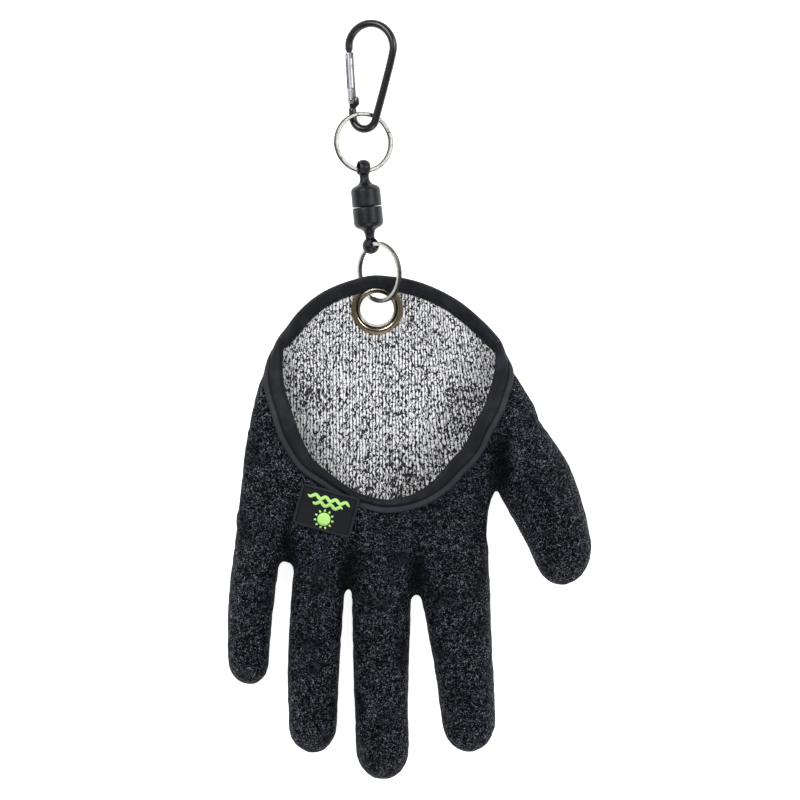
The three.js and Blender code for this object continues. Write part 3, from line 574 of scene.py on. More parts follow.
def palm_place(points):
    """Where points near the palm's skin lie on it, as turn and along: palm_point worked backwards."""
    along = (points[:, 1] - PALM["knuckle_y"]) / PALM["length"]
    left, right, low, mid, high = np.moveaxis(read_table(PALM_ROWS, along), -1, 0)
    u = ((points[:, 0] - PALM["centre_x"]) / PALM["half_width"] * 2 - left - right) / (right - left)
    level = points[:, 2] / PALM["thickness"] - mid
    v = level / np.where(level > 0, high - mid, mid - low)
    n = np.where(level > 0, ROUNDNESS["high"], ROUNDNESS["low"]) / 2
    turn = np.arctan2(np.sign(v) * np.abs(v) ** n, np.sign(u) * np.abs(u) ** n)
    return turn, along


def normals_of(points, quads):
    """Each point's normal: the sum of the crossed diagonals of the faces round it."""
    a, b, c, d = (points[quads[:, i]] for i in range(4))
    crossed = np.cross(c - a, d - b)
    total = np.zeros_like(points)
    for k in range(4):
        for axis in range(3):
            total[:, axis] += np.bincount(quads[:, k], weights=crossed[:, axis], minlength=len(points))
    return unit(total)


def before_rim(points):
    """How far, in millimetres along the glove, points lie before the rim."""
    turn, along = palm_place(points)
    order = np.argsort(rim_turn % (2 * np.pi))
    edge = np.interp(turn % (2 * np.pi), (rim_turn % (2 * np.pi))[order], rim_along[order],
                     period=2 * np.pi)
    return (np.minimum(edge, 0.993) - along) * PALM["length"]


def open_mouth(points, quads, inset):
    """Leaves out the faces past the rim and in the eyelet's hole, and the points unused then. The rim
    is a line on the outer skin, so a deeper skin is brought out to it first."""
    outside = points + normals_of(points, quads) * inset
    from_eyelet = np.hypot(points[:, 0] - GROMMET["x"], points[:, 1] - GROMMET["y"])
    kept = (before_rim(outside) > 0.3) & (from_eyelet > GROMMET["hole"] + 1.0)
    quads = quads[kept[quads].all(1)]
    used, renumbered = np.unique(quads, return_inverse=True)
    return points[used], renumbered.reshape(-1, 4)


coat_points, coat_quads = open_mouth(*fused(0.0, voxel=1.2, rounds=7), 0.0)
print("coat:", len(coat_quads), "faces")

# %% [markdown]
# The coat is latex on knit: about a millimetre thick, soft, and never quite smooth. Long shallow
# swells and finer lumps are pushed into the skin itself so that they show on the outline, and fade
# out near the rim, where the tape holds the edge true. The numbers come from a lattice of random
# values that is read smoothly between its points, the same on every run. Between the roots of the
# digits the cloth sinks into a hollow.


# %% Swell and lump the coat
def lattice_noise(points, size, seed):
    """Random numbers from -1 to 1 on a lattice of that size, blended by 3t^2 - 2t^3 in between."""
    lattice = np.random.default_rng(seed).uniform(-1, 1, (64, 64, 64))
    scaled = points / size
    cell = np.floor(scaled).astype(int)
    t = scaled - cell
    t = t * t * (3 - 2 * t)
    value = 0
    for corner in np.ndindex(2, 2, 2):
        weight = np.prod(np.where(corner, t, 1 - t), axis=1)
        i, j, k = ((cell + corner) % 64).T
        value = value + weight * lattice[i, j, k]
    return value


def skin_part(points, quads, uv=None):
    """A skin of quads, with a place on the cloth for each corner as its UV."""
    uv = points[:, :2] if uv is None else uv
    return {"points": points, "quads": quads, "tris": np.zeros((0, 3), int), "quad_uv": uv[quads],
            "tri_uv": np.zeros((0, 3, 2))}


# The hollows between the roots of the digits: x, y, half width, half length
HOLLOWS = ((-54.5, -65, 5, 13), (-28, -75, 6, 15), (3, -77, 6, 15), (39, -28, 5.5, 20))


def hollowed(points, quads, depth=2.0):
    """The skin with its upper side sunk by depth * exp(-u^2 - v^2) at each hollow."""
    sunk = 0
    for x, y, wide, long in HOLLOWS:
        sunk = sunk + np.exp(-(((points[:, 0] - x) / wide) ** 2) - ((points[:, 1] - y) / long) ** 2)
    upper = smooth(normals_of(points, quads)[:, 2], 0.1, 0.6)
    return points - np.outer(depth * sunk * upper, (0, 0, 1))


coat_points = hollowed(coat_points, coat_quads)
free = smooth(before_rim(coat_points), 8, 22)
swell = 0.3 * lattice_noise(coat_points, 17, 1) + 0.16 * lattice_noise(coat_points, 6, 2)
lumps = 0.2 * lattice_noise(coat_points, 2.4, 3)
coat_out = normals_of(coat_points, coat_quads)
coat_points = coat_points + coat_out * (swell * free + lumps * smooth(free, 0, 0.5))[:, None]
coat_points[:, 2] = np.maximum(coat_points[:, 2], 0.0)
print("swells reach", round(float(np.abs(swell).max()), 2), "mm")

# %% [markdown]
# ## Latex that dried with a crinkle
#
# The palm dip is foamed and crinkled on purpose, so that it grips. Up close it is a maze of small
# wormlike ridges about a millimetre and a half apart. The pits between them are painted near black as
# shade, the ridge tops are painted paler as highlights and are a little shinier, and a few painted
# glints sit on them. Noise is smooth, but its distance from its own middle value is sharp along winding
# lines, and those lines are the ridges. One height drives colour, roughness and relief together so that
# they agree. The sides of the palm and digits, and the hollows between the roots of the digits, are
# painted blacker than the tops as shade, so height above the table is one more input.


# %% Crinkled latex
def crinkled_latex():
    finish = Finish("crinkled_latex", Specular_IOR_Level=0.06, Coat_Roughness=0.36, Coat_IOR=1.45)
    where = finish.place()
    winding = finish.noise(1.4, 1.5, 0.55, where, warp=0.9)
    ridges = 1 - abs(winding - 0.5).between(0.0, 0.1)
    finer = 1 - abs(finish.noise(0.85, 1, 0.5, where, warp=0.6) - 0.5).between(0.0, 0.1)
    grain = finish.noise(0.45, 2, 0.6, where)
    broad = finish.noise(13, 3, 0.55, where)
    height = ridges * 0.55 + finer * 0.3 + grain * 0.3
    top = height.between(0.36, 0.86)
    # Painted shade: below the tops of the palm and digits and in the hollows between the digits' roots,
    # upper falls towards 0 and the latex gets its darker tone.
    upper = finish.split(where)[2].between(7.5 * MM, 17.5 * MM)
    for hollow_x, hollow_y, wide, long in HOLLOWS:
        dx, dy = finish.from_place(hollow_x, hollow_y)
        dx, dy = dx / wide, dy / long
        upper = upper * (dx * dx + dy * dy).between(-0.3, 1.5)
    # Pits painted near black as shade, ridge tops painted paler as highlights, darker still where upper is
    # low.
    shade = finish.mix(top, paint(1, 1, 2), finish.mix(upper, paint(11, 12, 16), paint(49, 54, 66)))
    # Painted glints: pale blue-grey specks on the ridge tops where upper is high.
    wear_and_glints = finish.mix((top * grain).between(0.4, 0.56) * broad.between(0.3, 0.68) * upper, shade,
                        paint(184, 193, 210))
    colour = finish.mix(broad.between(0.42, 0.72) * 0.7, wear_and_glints, paint(3, 4, 6))
    relief = finish.bump(height, 0.75, 1.0)
    return finish.feed(Base_Color=colour, Roughness=0.7 - top * 0.2, Coat_Weight=top * upper * 0.15,
                       Normal=relief)


latex = crinkled_latex()
glove_coat = piece("glove_coat_skin", skin_part(coat_points, coat_quads), "glove", latex, ("glove_coat",))
wall = glove_coat.modifiers.new("wall", "SOLIDIFY")
wall.thickness, wall.offset = (COAT_WALL - 0.1) * MM, -1

# %% [markdown]
# ## The knitted lining
#
# The lining is the bare side of a cut-resistant knit. White and black threads run together in each
# stitch, so the face looks like salt and pepper in upright columns, the wales. It is the same skin
# made a little smaller. Its UV map is laid out in wales and courses: x across the palm, and up the
# side walls by their height, so that the columns do not stretch where the cloth turns up.

# %% The lining's skin
knit_points, knit_quads = open_mouth(*fused(WALLS, voxel=1.2, rounds=4), WALLS)
knit_points = hollowed(knit_points, knit_quads)
knit_turn = palm_place(knit_points)[0]
WALE, COURSE = 1.45, 1.1
side_of_palm = np.sign(np.cos(knit_turn)) * np.clip(np.abs(np.cos(knit_turn)) - 0.8, 0, 1) * 5
slant = 0.22 * smooth(knit_points[:, 0], -5, 35) * knit_points[:, 1]
knit_uv = np.stack([(knit_points[:, 0] + slant + side_of_palm * knit_points[:, 2] * 0.9) / WALE,
                    knit_points[:, 1] / COURSE], -1)
print("lining:", len(knit_quads), "faces")


# %% Salt-and-pepper knit
# Patches with more dark flecks: x, y, reach
DARK_PATCHES = ((25, -5, 15), (-8, -40, 22), (-45, 5, 12))


def salt_and_pepper_knit():
    finish = Finish("salt_and_pepper_knit", Specular_IOR_Level=0.2)
    across, along, _ = finish.split(finish.uv())
    across = across + (finish.noise(7, 2) - 0.5) * 0.9
    groove = abs(across.part() - 0.5).between(0.3, 0.5)
    slanted = along + abs(across.part() - 0.5) * 1.5
    loop = (slanted.part() * FULL_TURN).sine() * 0.5 + 0.5
    thread = finish.vector((across * 2).floor(), slanted.floor())
    pick = finish.node("ShaderNodeTexWhiteNoise", {"noise_dimensions": "2D"}, {"Vector": thread})
    upright = finish.node("ShaderNodeMapping", None, {"Vector": finish.place(), "Scale": (1, 0.55, 1)})
    fibre = finish.noise(0.55, 3, 0.7, upright)
    fleck = finish.noise(0.82, 2, 0.6, upright, warp=0.6)
    more_flecks = 0.0
    for patch_x, patch_y, reach in DARK_PATCHES:
        dx, dy = finish.from_place(patch_x, patch_y)
        more_flecks = 1 - (dx * dx + dy * dy).between(0.0, float(reach) ** 2) + more_flecks
    pale = pick * 0.3 + fibre * 0.9 - groove * 0.36 + loop * 0.08
    tone = finish.node(
        "ShaderNodeValToRGB",
        {"stops": [(0.0, paint(40, 40, 43)[:3]), (0.33, paint(126, 126, 130)[:3]),
                   (0.55, paint(224, 224, 227)[:3]), (1.0, paint(254, 254, 255)[:3])]},
        {0: pale.between(0.12, 0.82)},
    )
    pepper = (fleck + pick * 0.1 + groove * 0.09 + more_flecks * 0.045).between(0.56, 0.594)
    colour = finish.mix(pepper * 0.97, tone, paint(13, 13, 16))
    height = (1 - groove) * 0.6 + loop * 0.3 + fibre * 0.35 - pepper * 0.2
    relief = finish.bump(height, 0.4, 0.7)
    return finish.feed(Base_Color=colour, Roughness=0.95 - pick * 0.1, Normal=relief)


knit = salt_and_pepper_knit()
knit_liner = piece("knit_liner_skin", skin_part(knit_points, knit_quads, knit_uv), "glove", knit,
                   ("knit_liner",))
yarn = knit_liner.modifiers.new("yarn", "SOLIDIFY")
yarn.thickness, yarn.offset = LINER_WALL * MM, 1

# %% [markdown]
# ## The folded tape
#
# A woven tape is folded over the raw edge and sewn through. Across it the tape is one outline: down
# the outside, round the lip, up the inside and back. Each point of the outline is a distance from
# the edge and a height, and the distance is walked over the palm's skin in short steps so that the
# tape hugs every curve. At the seam line the thread pulls the tape in, and it puffs up on both sides.
# Where the tape began and ended, one end lies over the other for a short way.

# %% Walk over the skin from the rim
rim_out = palm_frame(rim_turn, rim_along)[2]
rim_tangent = unit(np.roll(rim_edge, -1, axis=0) - np.roll(rim_edge, 1, axis=0))
rim_inward = unit(np.cross(rim_out, rim_tangent))


def walked(distance, height, steps=8):
    """Points that lie a distance in from the rim and a height above the skin. Each short step turns
    the inward direction into steps of turn and along by solving the skin's own two slopes for it."""
    turn, along = rim_turn.copy(), rim_along.copy()
    step = np.broadcast_to(distance, turn.shape) / steps
    for _ in range(steps):
        round_way, long_way, _ = palm_frame(turn, along)
        rr, rl, ll = ((a * b).sum(-1) for a, b in
                      ((round_way, round_way), (round_way, long_way), (long_way, long_way)))
        dr, dl = (rim_inward * round_way).sum(-1), (rim_inward * long_way).sum(-1)
        scale = step / (rr * ll - rl * rl)
        turn, along = turn + (dr * ll - dl * rl) * scale, along + (dl * rr - dr * rl) * scale
    return palm_offset(turn, along, np.broadcast_to(height, turn.shape))


TAPE = {"outer_leg": 7.6, "inner_leg": 5.1, "thickness": 0.75, "lip": 1.25, "seam": 2.8, "inner_seam": 1.22}
# How far the tape rises over the washer, and how far from its middle that is still full, and gone
OVER_WASHER = {"rise": 0.8, "full": 12.5, "gone": 17.5}
# Where the overlap of the tape's ends begins and ends, on the part of the rim above that level, how
# far it rises, and over how many steps of the rim on each side it blends in
LAP = {"ends": ((-52.8, -6.0), (-44.0, -27.5)), "above": 8, "rise": 0.5, "blend": 1.5}
LIP_STEPS = 11


def raised(points, height):
    """Lifts the tape's height over the grommet's washer and lip, inside and outside."""
    away = np.hypot(points[:, 0] - GROMMET["x"], points[:, 1] - GROMMET["y"])
    fade = 1 - smooth(away, OVER_WASHER["full"], OVER_WASHER["gone"])
    return height + np.sign(height) * OVER_WASHER["rise"] * fade


def lapped():
    """Half a millimetre more height between the two places on the rim where the ends overlap."""
    back = rim_edge[:, 2] >= LAP["above"]
    far = [np.where(back, np.hypot(*(rim_edge[:, :2] - end).T), np.inf) for end in LAP["ends"]]
    first, last = sorted(int(np.argmin(distance)) for distance in far)
    step, blend = np.arange(RIM_STEPS), LAP["blend"]
    begun = smooth(step, first - blend, first + blend)
    return LAP["rise"] * begun * (1 - smooth(step, last - blend, last + blend))


def tape_outline():
    """The outline's points round the whole rim: the outer leg from its far edge to the lip, a half
    turn of the lip beyond the edge, and the inner leg, then back along the inside of the fold."""
    leg, inner = TAPE["outer_leg"] * rim_tape, np.full(RIM_STEPS, TAPE["inner_leg"])
    thick = TAPE["thickness"]
    seam = leg - TAPE["seam"]
    lap = lapped()
    outer = [(leg - 0.1, -0.1), (leg + 0.15, 0.15), (leg + 0.18, thick - 0.15), (leg - 0.2, thick + 0.2),
             (leg - 0.85, thick + 0.38), (leg - 1.6, thick + 0.34), (seam + 0.45, thick + 0.1),
             (seam, thick - 0.2), (seam - 0.5, thick + 0.02), (seam * 0.75, thick + 0.2),
             (seam * 0.45, thick + 0.28), (seam * 0.2, thick + 0.22)]
    outer = outer[:2] + [(distance, height + lap) for distance, height in outer[2:]]
    deep = -WALLS - thick
    back = inner - TAPE["seam"] * 0.62
    inside = [(back * 0.35, deep - 0.2), (back * 0.7, deep - 0.2), (back, deep - 0.02),
              (back + 0.5, deep + 0.18), (back + 1.0, deep - 0.06), (inner - 0.35, deep - 0.06),
              (inner, deep + 0.2)]
    tucked = [(inner - 0.05, 0.1 - WALLS), (inner * 0.5, 0.3 - WALLS), (0.2, -0.5 * WALLS)]
    place = lambda d, h: walked(d, raised(rim_edge, np.broadcast_to(h, RIM_STEPS)))
    upper, lower = place(0, thick + 0.1 + lap), place(0, deep - 0.1)
    middle, radius = (upper + lower) / 2, (upper - lower) / 2
    turns = np.linspace(0, np.pi, LIP_STEPS)
    lip = [middle + radius * np.cos(a) - rim_inward * TAPE["lip"] * np.sin(a) for a in turns]
    hidden = [walked(*p) for p in tucked]
    return np.stack([place(*p) for p in outer] + lip + [place(*p) for p in inside] + hidden, axis=1)


tape_points = tape_outline()
print("tape outline:", tape_points.shape[1], "points at", tape_points.shape[0], "places")


# %% [markdown]
# The tape is a close plain weave with a faint shine. Its UV map runs once round the rim in one
# direction and across the outline in the other, so the weave follows the fold wherever it goes. The
# seam's groove is painted as a dark line of shade, and the puff beside it is painted a little paler as
# a highlight, as are soft patches of wear.

# %% Woven tape
TAPE_MM_ROUND = rim_length / RIM_STEPS
SEAM_COLUMN = 7.0  # the outline's point that the seam holds down
WEFT, WARP = 0.55, 0.9  # from thread to thread: in mm round the rim, in points across the outline


def woven_tape():
    finish = Finish("woven_tape", Specular_IOR_Level=0.16)
    across, along, _ = finish.split(finish.uv())
    weft = (along * (FULL_TURN / WEFT)).sine() * 0.5 + 0.5
    warp = (across * (FULL_TURN / WARP)).sine() * 0.5 + 0.5
    fuzz = finish.noise(0.6, 3, 0.6)
    soft = finish.noise(7, 2)
    height = weft * 0.25 + warp * 0.2 + fuzz * 0.6
    colour = finish.mix(height.between(0.2, 0.95), paint(14, 15, 19), paint(27, 28, 34))
    # Painted highlight along the puff beside the seam.
    puff_highlight = 1 - abs(across - (SEAM_COLUMN - 2.5)).between(0.6, 2.2)
    # Painted shade in the seam's groove.
    seam = 1 - abs(across - SEAM_COLUMN).between(0.3, 1.1)
    # Soft patches of wear and the puff's painted highlight are mixed in paler, then the seam's painted
    # shade darker.
    wear_and_painted_light = finish.mix(soft.between(0.45, 0.8) * 0.4 + puff_highlight * 0.6, colour, paint(52, 55, 63))
    wear_and_painted_light = finish.mix(seam * 0.85, wear_and_painted_light, paint(5, 5, 7))
    relief = finish.bump(height, 0.06, 0.6)
    return finish.feed(Base_Color=wear_and_painted_light, Roughness=0.5 + fuzz * 0.18, Normal=relief)


tape_cloth = woven_tape()
tape = surface(tape_points, wrap_rows=True)
piece("cuff_binding_tape", tape, "glove", tape_cloth, ("cuff_binding",), uv_scale=(1.0, TAPE_MM_ROUND))

# %% [markdown]
# ## The sewing thread
#
# A lockstitch shows as short plump dashes with a small gap where the thread dives. Each dash is one
# small spindle with few faces, because there are hundreds, bent to follow the seam. All of them are
# worked out in one go as a grid of grids: stitch, place along it, and place round it.

# %% Stitches along both sides of the tape
STITCH = {"pitch": 2.7, "length": 1.9, "radius": 0.24}


def stitches(path, out, sink):
    """Spindles along a closed path: their radius is r times (1 - t^4)^(1/2) for t from -1 to 1, and
    their ends dive by sink millimetres."""
    closed = np.vstack([path, path[:1]])
    closed_out = np.vstack([out, out[:1]])
    run = np.concatenate([[0], np.cumsum(np.linalg.norm(np.diff(closed, axis=0), axis=1))])
    count = int(run[-1] / STITCH["pitch"])
    t = np.linspace(-1, 1, 7)
    at = (np.arange(count)[:, None] + 0.5) * run[-1] / count + t * STITCH["length"] / 2
    read = lambda rows: np.stack([np.interp(at, run, column) for column in rows.T], -1)
    centre, up = read(closed), unit(read(closed_out))
    along = unit(np.gradient(centre, axis=1))
    aside = np.cross(along, up)
    radius = STITCH["radius"] * np.sqrt(np.maximum(1 - t**4, 0.03))[None, :, None, None]
    centre = centre - up * (sink * t**4)[None, :, None]
    turn = np.linspace(0, 2 * np.pi, 6, endpoint=False)[None, None, :, None]
    ring = centre[:, :, None] + radius * (np.cos(turn) * aside[:, :, None] + np.sin(turn) * up[:, :, None])
    return together([surface(one, caps=True) for one in ring])


def sewing_thread():
    finish = Finish("sewing_thread", Specular_IOR_Level=0.2)
    twist = finish.noise(0.35, 2, 0.6)
    colour = finish.mix(twist.between(0.3, 0.8), paint(2, 2, 3), paint(9, 9, 11))
    return finish.feed(Base_Color=colour, Roughness=0.55 + twist * 0.2, Normal=finish.bump(twist, 0.08))


thread = sewing_thread()
seam_out = TAPE["outer_leg"] * rim_tape - TAPE["seam"]
seam_height = TAPE["thickness"] - 0.1
outer_seam = walked(seam_out, raised(rim_edge, seam_height + lapped()))
inner_seam_depth = -WALLS - TAPE["thickness"] + 0.08
inner_seam = walked(np.full(RIM_STEPS, TAPE["inner_leg"] - TAPE["inner_seam"]),
                    raised(rim_edge, np.full(RIM_STEPS, inner_seam_depth)))
both = together([stitches(outer_seam, rim_out, 0.3), stitches(inner_seam, -rim_out, 0.3)])
piece("binding_stitches", both, "glove", thread)

# %% [markdown]
# ## The moulded label
#
# A soft rubber badge with a raised rim is sewn on, with its upper edge over the tape. It is a thin
# slab that follows the back of the palm: its place is a corner, a turn and two distances, and its
# height is worked out from how far a point is inside the rounded outline. A plain sun under two waves
# fills its face.

# %% The label follows the palm
LABEL = {"width": 26.2, "depth": 18.5, "thick": 1.4, "rim": 1.25, "sunk": 0.6, "turn": -15.5, "corner": 1.4}
LABEL_CORNER = {"across": -0.525, "along": 0.3575}
OVER_TAPE = 1.2
LABEL_COLUMNS, LABEL_ROWS = 131, 85
LABEL_CELL = (0.2, 0.22)  # a cell of its grid, across and down, in mm


def on_label(a, b, height):
    """A point a across and b down from the label's upper left corner, at a height above the palm. The
    upper edge lies over the tape, so the height there is more by the tape's own."""
    turn = np.radians(LABEL["turn"])
    height = height + OVER_TAPE * (1 - smooth(b, LABEL["depth"] * 0.27, LABEL["depth"] * 0.48))
    x = PALM["centre_x"] + PALM["half_width"] * LABEL_CORNER["across"] + a * np.cos(turn) + b * np.sin(turn)
    y = PALM["knuckle_y"] + PALM["length"] * LABEL_CORNER["along"] + a * np.sin(turn) - b * np.cos(turn)
    along = (y - PALM["knuckle_y"]) / PALM["length"]
    around = turn_at((x - PALM["centre_x"]) / PALM["half_width"], along, np.ones_like(along))
    return palm_offset(around, along, height)


def slab(a, b, low, high):
    """A closed slab over a grid: its top, its bottom, and the edge between them. The columns of one
    wide sheet run over the top, down the far side and back below."""
    top, under = on_label(a, b, high), on_label(a, b, low)
    sheet = np.concatenate([top, under[:, ::-1]], axis=1)
    return surface(sheet, caps=True)


def inside_label(a, b):
    """How far a point lies inside the label's rounded outline."""
    half_w, half_d, r = LABEL["width"] / 2, LABEL["depth"] / 2, LABEL["corner"]
    qa, qb = np.abs(a - half_w) - (half_w - r), np.abs(b - half_d) - (half_d - r)
    outside = np.hypot(np.maximum(qa, 0), np.maximum(qb, 0)) + np.minimum(np.maximum(qa, qb), 0)
    return r - outside


def label_slab():
    u, v = np.meshgrid(np.linspace(-1, 1, LABEL_COLUMNS), np.linspace(-1, 1, LABEL_ROWS), indexing="xy")
    pull = 1 - 0.055 * np.abs(u) ** 14 * np.abs(v) ** 14
    a, b = LABEL["width"] / 2 * (1 + u * pull), LABEL["depth"] / 2 * (1 + v * pull)
    inside = inside_label(a, b)
    face = CLEARANCE + LABEL["thick"] - LABEL["sunk"]
    rim = LABEL["sunk"] * (1 - smooth(inside, LABEL["rim"] - 0.25, LABEL["rim"] + 0.25))
    round_edge = 0.35 * (1 - smooth(inside, 0, 0.5))
    return slab(a, b, np.full(a.shape, CLEARANCE), face + rim - round_edge)


def label_rubber():
    finish = Finish("label_rubber", IOR=1.45, Specular_IOR_Level=0.22)
    grain = finish.noise(0.3, 3, 0.6)
    broad = finish.noise(5, 2)
    across, down, _ = finish.split(finish.uv())
    half_columns, half_rows = LABEL_COLUMNS // 2, LABEL_ROWS // 2
    from_side = (half_columns - abs(across - half_columns)) * LABEL_CELL[0]
    from_end = (half_rows - abs(down - half_rows)) * LABEL_CELL[1]
    nearest = finish.node("ShaderNodeMath", {"operation": "MINIMUM"}, {0: from_side, 1: from_end})
    # Painted highlight on the top of the raised rim, and painted shade in the crease at its foot.
    rim = 1 - nearest.between(1.05, 1.2)
    crease_shade = 1 - abs(nearest - 1.45).between(0.05, 0.35)
    face = finish.mix(grain.between(0.3, 0.7), paint(15, 16, 20), paint(25, 27, 32))
    rim_highlight = finish.mix(rim, face, paint(34, 36, 42))
    colour = finish.mix(crease_shade * 0.85, rim_highlight, paint(8, 9, 11))
    relief = finish.bump(grain * 0.8 + broad * 0.6, 0.06, 0.6)
    return finish.feed(Base_Color=colour, Roughness=0.46 + grain * 0.18, Normal=relief)


rubber = label_rubber()
piece("rubber_label_slab", label_slab(), "glove", rubber, ("rubber_label",))

# %% A sun under two waves
MOTIF = {"rise": 0.3, "sun": 2.9, "sun_at": (13.1, 13.2), "rays": 11, "wave_width": 1.5}


def ribbon(a, b, half_width):
    """A raised strip along a line of points on the label, half_width to each side of it."""
    way = unit(np.stack([np.gradient(a), np.gradient(b)], -1))
    side = np.linspace(-1, 1, 5)
    grid_a = a[:, None] - way[:, 1:] * side * half_width[:, None]
    grid_b = b[:, None] + way[:, :1] * side * half_width[:, None]
    face = CLEARANCE + LABEL["thick"] - LABEL["sunk"]
    crown = face + MOTIF["rise"] * (1 - 0.5 * side**4)
    return slab(grid_a, grid_b, np.full(grid_a.shape, face - 0.1), np.broadcast_to(crown, grid_a.shape))


def label_motif():
    parts = []
    s = np.linspace(0, 1, 60)
    taper = MOTIF["wave_width"] / 2 * np.sqrt(np.maximum(1 - (2 * s - 1) ** 8, 0.02))
    for start, span, level in ((3.6, 19.0, 4.2), (6.4, 13.4, 6.9)):
        parts.append(ribbon(start + span * s, level + 0.66 * np.sin(s * span * 1.4), taper))
    centre = MOTIF["sun_at"]
    t = np.linspace(-1, 1, 25)
    round_sun = MOTIF["sun"] * np.sqrt(np.maximum(1 - t**2, 0.003))
    parts.append(ribbon(centre[0] + MOTIF["sun"] * t, centre[1] + 0 * t, round_sun))
    for i in range(MOTIF["rays"]):
        turn = np.pi * 2 * i / MOTIF["rays"]
        reach = np.linspace(MOTIF["sun"] + 0.45, MOTIF["sun"] + 1.45, 8)
        width = np.linspace(0.5, 0.3, 8)
        parts.append(ribbon(centre[0] + reach * np.cos(turn), centre[1] + reach * np.sin(turn), width))
    return together(parts)


def green_rubber():
    finish = Finish("green_rubber", IOR=1.48)
    grain = finish.noise(0.35, 2, 0.6)
    colour = finish.mix(grain.between(0.3, 0.75), paint(168, 222, 112), paint(192, 240, 142))
    return finish.feed(Base_Color=colour, Roughness=0.5 + grain * 0.15, Normal=finish.bump(grain, 0.04))


green = green_rubber()
piece("label_motif", label_motif(), "glove", green)

# %% [markdown]
# ## Round metal: turned and swept
#
# The eyelet, the clip and its balls are turned, so each is a profile of radius and height carried
# round an axis. The rings and the carabiner are wire, so each is a section carried along a path. Two
# short functions make them all, and a frame of three directions puts each one in its place.


# %% Turn a profile, sweep a section
WAVE_BEYOND = 9.9  # the radius beyond which a turned edge may be wavy


def rotation(axis, degrees):
    """Rodrigues' formula: what lies along the axis stays, the rest turns in the plane across it."""
    x, y, z = unit(np.array(axis, float))
    cross = np.array([[0, -z, y], [z, 0, -x], [-y, x, 0]])
    a = np.radians(degrees)
    return np.eye(3) + np.sin(a) * cross + (1 - np.cos(a)) * cross @ cross


def facing(axis):
    """Three columns: two directions across an axis, and the axis."""
    axis = unit(np.asarray(axis, float))
    aside = unit(np.cross([0, 1, 0] if abs(axis[1]) < 0.9 else [1, 0, 0], axis))
    return np.stack([aside, np.cross(axis, aside), axis], 1)


def turned(profile, turning, origin, sides=96, wave=None, closed=True):
    """Each profile point (radius, height) at every turn: (r cos a, r sin a, h), then placed. A wave
    moves the outermost points in and out."""
    radius, height = np.array(profile, float).T
    a = np.linspace(0, 2 * np.pi, sides, endpoint=False)
    r = radius[:, None] + (0 * a if wave is None else wave(a) * (radius[:, None] > WAVE_BEYOND))
    points = np.stack([r * np.cos(a), r * np.sin(a), height[:, None] + 0 * a], -1)
    return surface(points @ turning.T + origin, wrap_rows=closed, caps=not closed)


def rounded(profile, steps=5, cut=0.3, closed=True):
    """A profile whose corners are rounded: each one is a short parabola between points a share cut
    along the two sides that meet there."""
    p = np.array(profile, float)
    before, after = np.roll(p, 1, axis=0), np.roll(p, -1, axis=0)
    t = np.linspace(0, 1, steps)[None, :, None]
    a, c = p + (before - p) * cut, p + (after - p) * cut
    made = (1 - t) ** 2 * a[:, None] + 2 * t * (1 - t) * p[:, None] + t**2 * c[:, None]
    if not closed:
        made[0], made[-1] = p[0], p[-1]
    return made.reshape(-1, 2)


def swept(path, section, up, scale=None):
    """A section carried along a path: at each point its first number goes aside and its second up."""
    along = unit(np.gradient(path, axis=0))
    aside = unit(np.cross(along, up))
    over = np.cross(aside, along)
    scale = np.ones(len(path)) if scale is None else scale
    grid = path[:, None] + scale[:, None, None] * (
        section[None, :, :1] * aside[:, None] + section[None, :, 1:] * over[:, None])
    return surface(grid, caps=True)


def circle(radius, sides):
    a = np.linspace(0, 2 * np.pi, sides, endpoint=False)
    return radius * np.stack([np.cos(a), np.sin(a)], -1)


# %% [markdown]
# ## Metal finishes
#
# Plated wire is bright and nearly smooth: what makes it real is a faint waviness, fine scratches that
# run along it and a few dull spots, and a wire's two sides are painted darker as dark bands of
# reflection. The eyelet is a warmer, older plating with brown stains, painted dark as shade in its
# groove, at its outer edge and round its hole.


# %% Plated, brushed and painted metal
def bright_metal(name, colour, dull_and_dark_sides, roughness, scratch=(1, 1, 1), sides=0, roll=0.0):
    """sides is how many columns a wire's section has: its two sides are painted darker than its face as
    dark bands of reflection, and roll turns them round the wire by that many degrees."""
    finish = Finish(name, Metallic=1.0)
    mapped = finish.node("ShaderNodeMapping", None, {"Vector": finish.place(), "Scale": scratch})
    lines = finish.noise(0.5, 4, 0.7, mapped)
    spots = finish.noise(2.4, 3, 0.6)
    wear_and_painted_light = spots.between(0.5, 0.75)
    mask = wear_and_painted_light * 0.5 + lines.between(0.55, 0.8) * 0.3
    if sides:
        round_wire, _, _ = finish.split(finish.uv())
        angle = round_wire * (FULL_TURN / sides) + float(np.radians(90 + roll))
        # Painted reflection: the wire's two sides get the dark tone as dark bands, and its face stays
        # bright.
        painted_dark_sides = abs(angle.sine()).between(0.4, 0.9)
        mask = mask + painted_dark_sides * 0.95
    shade = finish.mix(mask, colour, dull_and_dark_sides)
    relief = finish.bump(lines * 0.6 + spots * 0.5, 0.02, 0.5)
    return finish.feed(Base_Color=shade, Roughness=roughness + wear_and_painted_light * 0.14 + lines * 0.06, Normal=relief)


